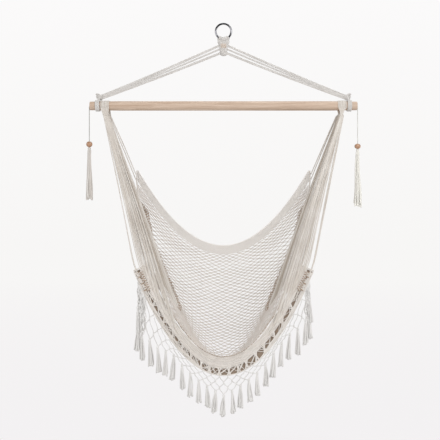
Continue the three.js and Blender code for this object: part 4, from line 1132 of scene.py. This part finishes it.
for x, y, z in tops:
    add_ball(lines, widths, np.array([x, y, z - 0.002]), FRINGE_KNOT * 0.85, FRINGE_KNOT * 1.3)
    lean = dice.normal(0, 0.0035)
    whole = TASSEL_LENGTH * dice.uniform(0.88, 1.0) * (1 + 0.25 * min(abs(x) / 0.3, 1))
    for k in range(TASSEL_STRANDS):
        angle = 2 * math.pi * (k + dice.uniform(0, 0.6)) / (TASSEL_STRANDS - 1)
        length = whole * dice.uniform(0.88, 1.0)
        spread = (TASSEL_START + TASSEL_SPREAD * t ** 0.8) * (k > 0)
        aside = spread * math.cos(angle) + lean * t + dice.normal(0, 0.0015) * np.sin(np.pi * t)
        lines.append(points_of(x + aside, y + spread * math.sin(angle), z - 0.005 - t * (length - 0.006)))
        widths.append(TASSEL_STRAND * (0.72 + 0.4 * t) * (1 + 1.1 * t * (k == 0)))
fringe_cotton = cotton("fringe_cotton", (236, 235, 234), (223, 221, 219), 160, 2, 0.0005, (240, 239, 238))
lay_cords("fringe", lines, widths, fringe_cotton, "seat", "fringe_cotton", "front_fringe")

# The pendants: a cord comes out of each end of the bar and bends down. It carries a turned wooden
# bead, a knot that keeps the bead on, and a tassel of thick twisted strands.
PENDANT_CORD = 0.003
PENDANT_INNER = 0.496
PENDANT_BEND = 0.006
PENDANT_BEND_STEPS = 8
BEAD_RADIUS = 0.0117
BEAD_FLAT_RADIUS = 0.0042
BEAD_BORE_SCALE = (0.72, 0.72, 0.98)
PENDANT_KNOT_HEIGHT = 0.011
PENDANT_KNOT_CORD = 0.0034
PENDANT_KNOT_TURNS = 3
PENDANT_KNOT_RADIUS = 0.0048
PENDANT_KNOT_CORE = (0.005, 0.0085, 0.0085, 0.006)
PENDANT_TOP = 0.0050
PENDANT_STRAND = 0.0062
PENDANT_INNER_STRANDS = 4
# the right tassel's cotton is a lighter copy of the left one's: painted light against the shade between
# its strands
PENDANTS = {  # the tassel's and the cord's cotton are given by their colour, shade and worn tint
    "left": {
        "bead": -0.4477, "bead_height": 0.022, "end": -0.657, "wide": 0.026, "strands": 6,
        "tassel": ((226, 223, 220), (200, 196, 191), (242, 239, 236)),
        "cord": ((208, 208, 206), (182, 182, 180), (214, 214, 212)),
    },
    "right": {
        "bead": -0.4552, "bead_height": 0.0195, "end": -0.684, "wide": 0.032, "strands": 7,
        "tassel": ((245, 244, 240), (226, 224, 219), (248, 247, 244)),
        "cord": ((232, 232, 229), (210, 210, 207), (234, 234, 232)),
    },
}
dice = np.random.default_rng(5)

bead_wood, tree, shader = new_material("bead_wood", 0.36)
place = add_node(tree, "TexCoord").outputs["Object"]
sockets = {"Vector": place, "Location": (3, 0, 0), "Scale": (60, 60, 18)}
grain = noise(tree, add_node(tree, "Mapping", sockets).outputs[0], 4.0, 5.0, 1.2)
feed(tree, shader, {
    "Coat Weight": 0.6,
    "Coat Roughness": 0.24,
    "Base Color": ramp(tree, grain, (0.32, srgb(166, 122, 92)), (0.68, srgb(208, 168, 138))),
    "Normal": relief(tree, grain, 0.2, 0.0003),
})

for side, sign in SIDES:
    facts = PENDANTS[side]
    body, slot = f"pendant_{side}", "pendant_cotton"
    colour, groove_shade, worn = facts["tassel"]
    tassel_cotton = cotton(f"{side}_tassel_cotton", colour, groove_shade, 90, 2, 0.0004, worn)
    colour, groove_shade, worn = facts["cord"]
    pendant_cotton = cotton(f"{side}_pendant_cord_cotton", colour, groove_shade, 300, 2, 0.0002, worn)
    x = sign * (PENDANT_INNER + PENDANT_BEND)
    half_height = facts["bead_height"] / 2

    bpy.ops.object.select_all(action="DESELECT")
    bpy.ops.mesh.primitive_uv_sphere_add(segments=40, ring_count=24, radius=BEAD_RADIUS)
    bead = bpy.context.object
    choose(bead, "FACE", lambda face: math.hypot(*face.center.xy) < BEAD_FLAT_RADIUS * 0.75)
    bpy.ops.mesh.delete(type="FACE")
    bpy.ops.mesh.select_mode(type="EDGE")
    bpy.ops.mesh.select_all(action="SELECT")
    bpy.ops.mesh.region_to_loop()
    bpy.ops.mesh.extrude_edges_move()
    bpy.ops.transform.resize(value=BEAD_BORE_SCALE, center_override=(0, 0, 0))
    bpy.ops.mesh.bridge_edge_loops()
    bpy.ops.mesh.select_all(action="SELECT")
    bpy.ops.transform.resize(value=(1, 1, half_height / BEAD_RADIUS), center_override=(0, 0, 0))
    close_up(bead, (x, 0, facts["bead"]), 50)
    finish_piece(bead, f"bead_{side}", bead_wood, f"bead_{side}", "bead_wood", f"pendant_bead_{side}")

    exit_z = BAR_HEIGHT + 0.001
    route = [(sign * (PENDANT_INNER - 0.004), 0, exit_z)]
    for angle in np.linspace(0, math.pi / 2, PENDANT_BEND_STEPS + 1):
        reach = PENDANT_INNER + PENDANT_BEND * math.sin(angle)
        route.append((sign * reach, 0, exit_z - PENDANT_BEND * (1 - math.cos(angle))))
    cord_end = facts["bead"] - math.sqrt(1 - (BEAD_FLAT_RADIUS / BEAD_RADIUS) ** 2) * half_height - 0.0002
    route += [(x, 0, z) for z in np.linspace(exit_z - PENDANT_BEND, cord_end, 16)[1:]]
    cord_piece = lay_cords(f"cord_{side}", [route], PENDANT_CORD, pendant_cotton, body, slot,
                           f"pendant_cord_{side}", sides=12)

    knot_top = cord_end - 0.0004
    turn = np.linspace(0, PENDANT_KNOT_TURNS * 2 * np.pi, 96)
    share = turn / turn[-1]
    swell = PENDANT_KNOT_RADIUS * (0.6 + 0.4 * np.sin(np.pi * share))
    height = knot_top - 0.0016 - share * (PENDANT_KNOT_HEIGHT - 0.003)
    lines = [points_of(x + swell * np.cos(turn), swell * np.sin(turn), height)]
    height = knot_top - 0.0005 - np.array([0, 0.33, 0.66, 1]) * (PENDANT_KNOT_HEIGHT - 0.001)
    lines.append(points_of(x, 0, height))
    knot = lay_cords(f"cord_knot_{side}", lines, [PENDANT_KNOT_CORD, PENDANT_KNOT_CORE], tassel_cotton,
                     body, slot, f"pendant_knot_{side}", sides=10)

    top = knot_top - PENDANT_KNOT_HEIGHT
    t = np.linspace(0, 1, 70)
    widening = (facts["wide"] / 2 - PENDANT_STRAND / 2 - PENDANT_TOP) * t ** 1.4
    lines = []
    for k in range(facts["strands"] + PENDANT_INNER_STRANDS):
        angle = 2 * math.pi * (k + dice.uniform(0, 0.35)) / facts["strands"]
        inner = k >= facts["strands"]
        if inner:
            angle = 2 * math.pi * (k - facts["strands"]) / PENDANT_INNER_STRANDS - math.pi / 2
        spread = (PENDANT_TOP + widening) * (0.5 if inner else 1)
        length = (top - facts["end"]) * (1 if k == 0 else dice.uniform(0.91, 0.995))
        aside = spread * math.cos(angle) + dice.normal(0, 0.0012) * np.sin(2 * np.pi * t)
        lines.append(points_of(x + aside, spread * math.sin(angle), top - 0.0005 - t * (length - 0.001)))
    thick = PENDANT_STRAND * (0.7 + 0.3 * np.minimum(t * 3, 1)) * (1 + 1.2 * np.maximum(t - 0.9, 0))
    lay_cords(f"tassel_{side}", lines, thick, tassel_cotton, body, slot, f"pendant_tassel_{side}",
              sides=12, lobes=2, lay=0.026)
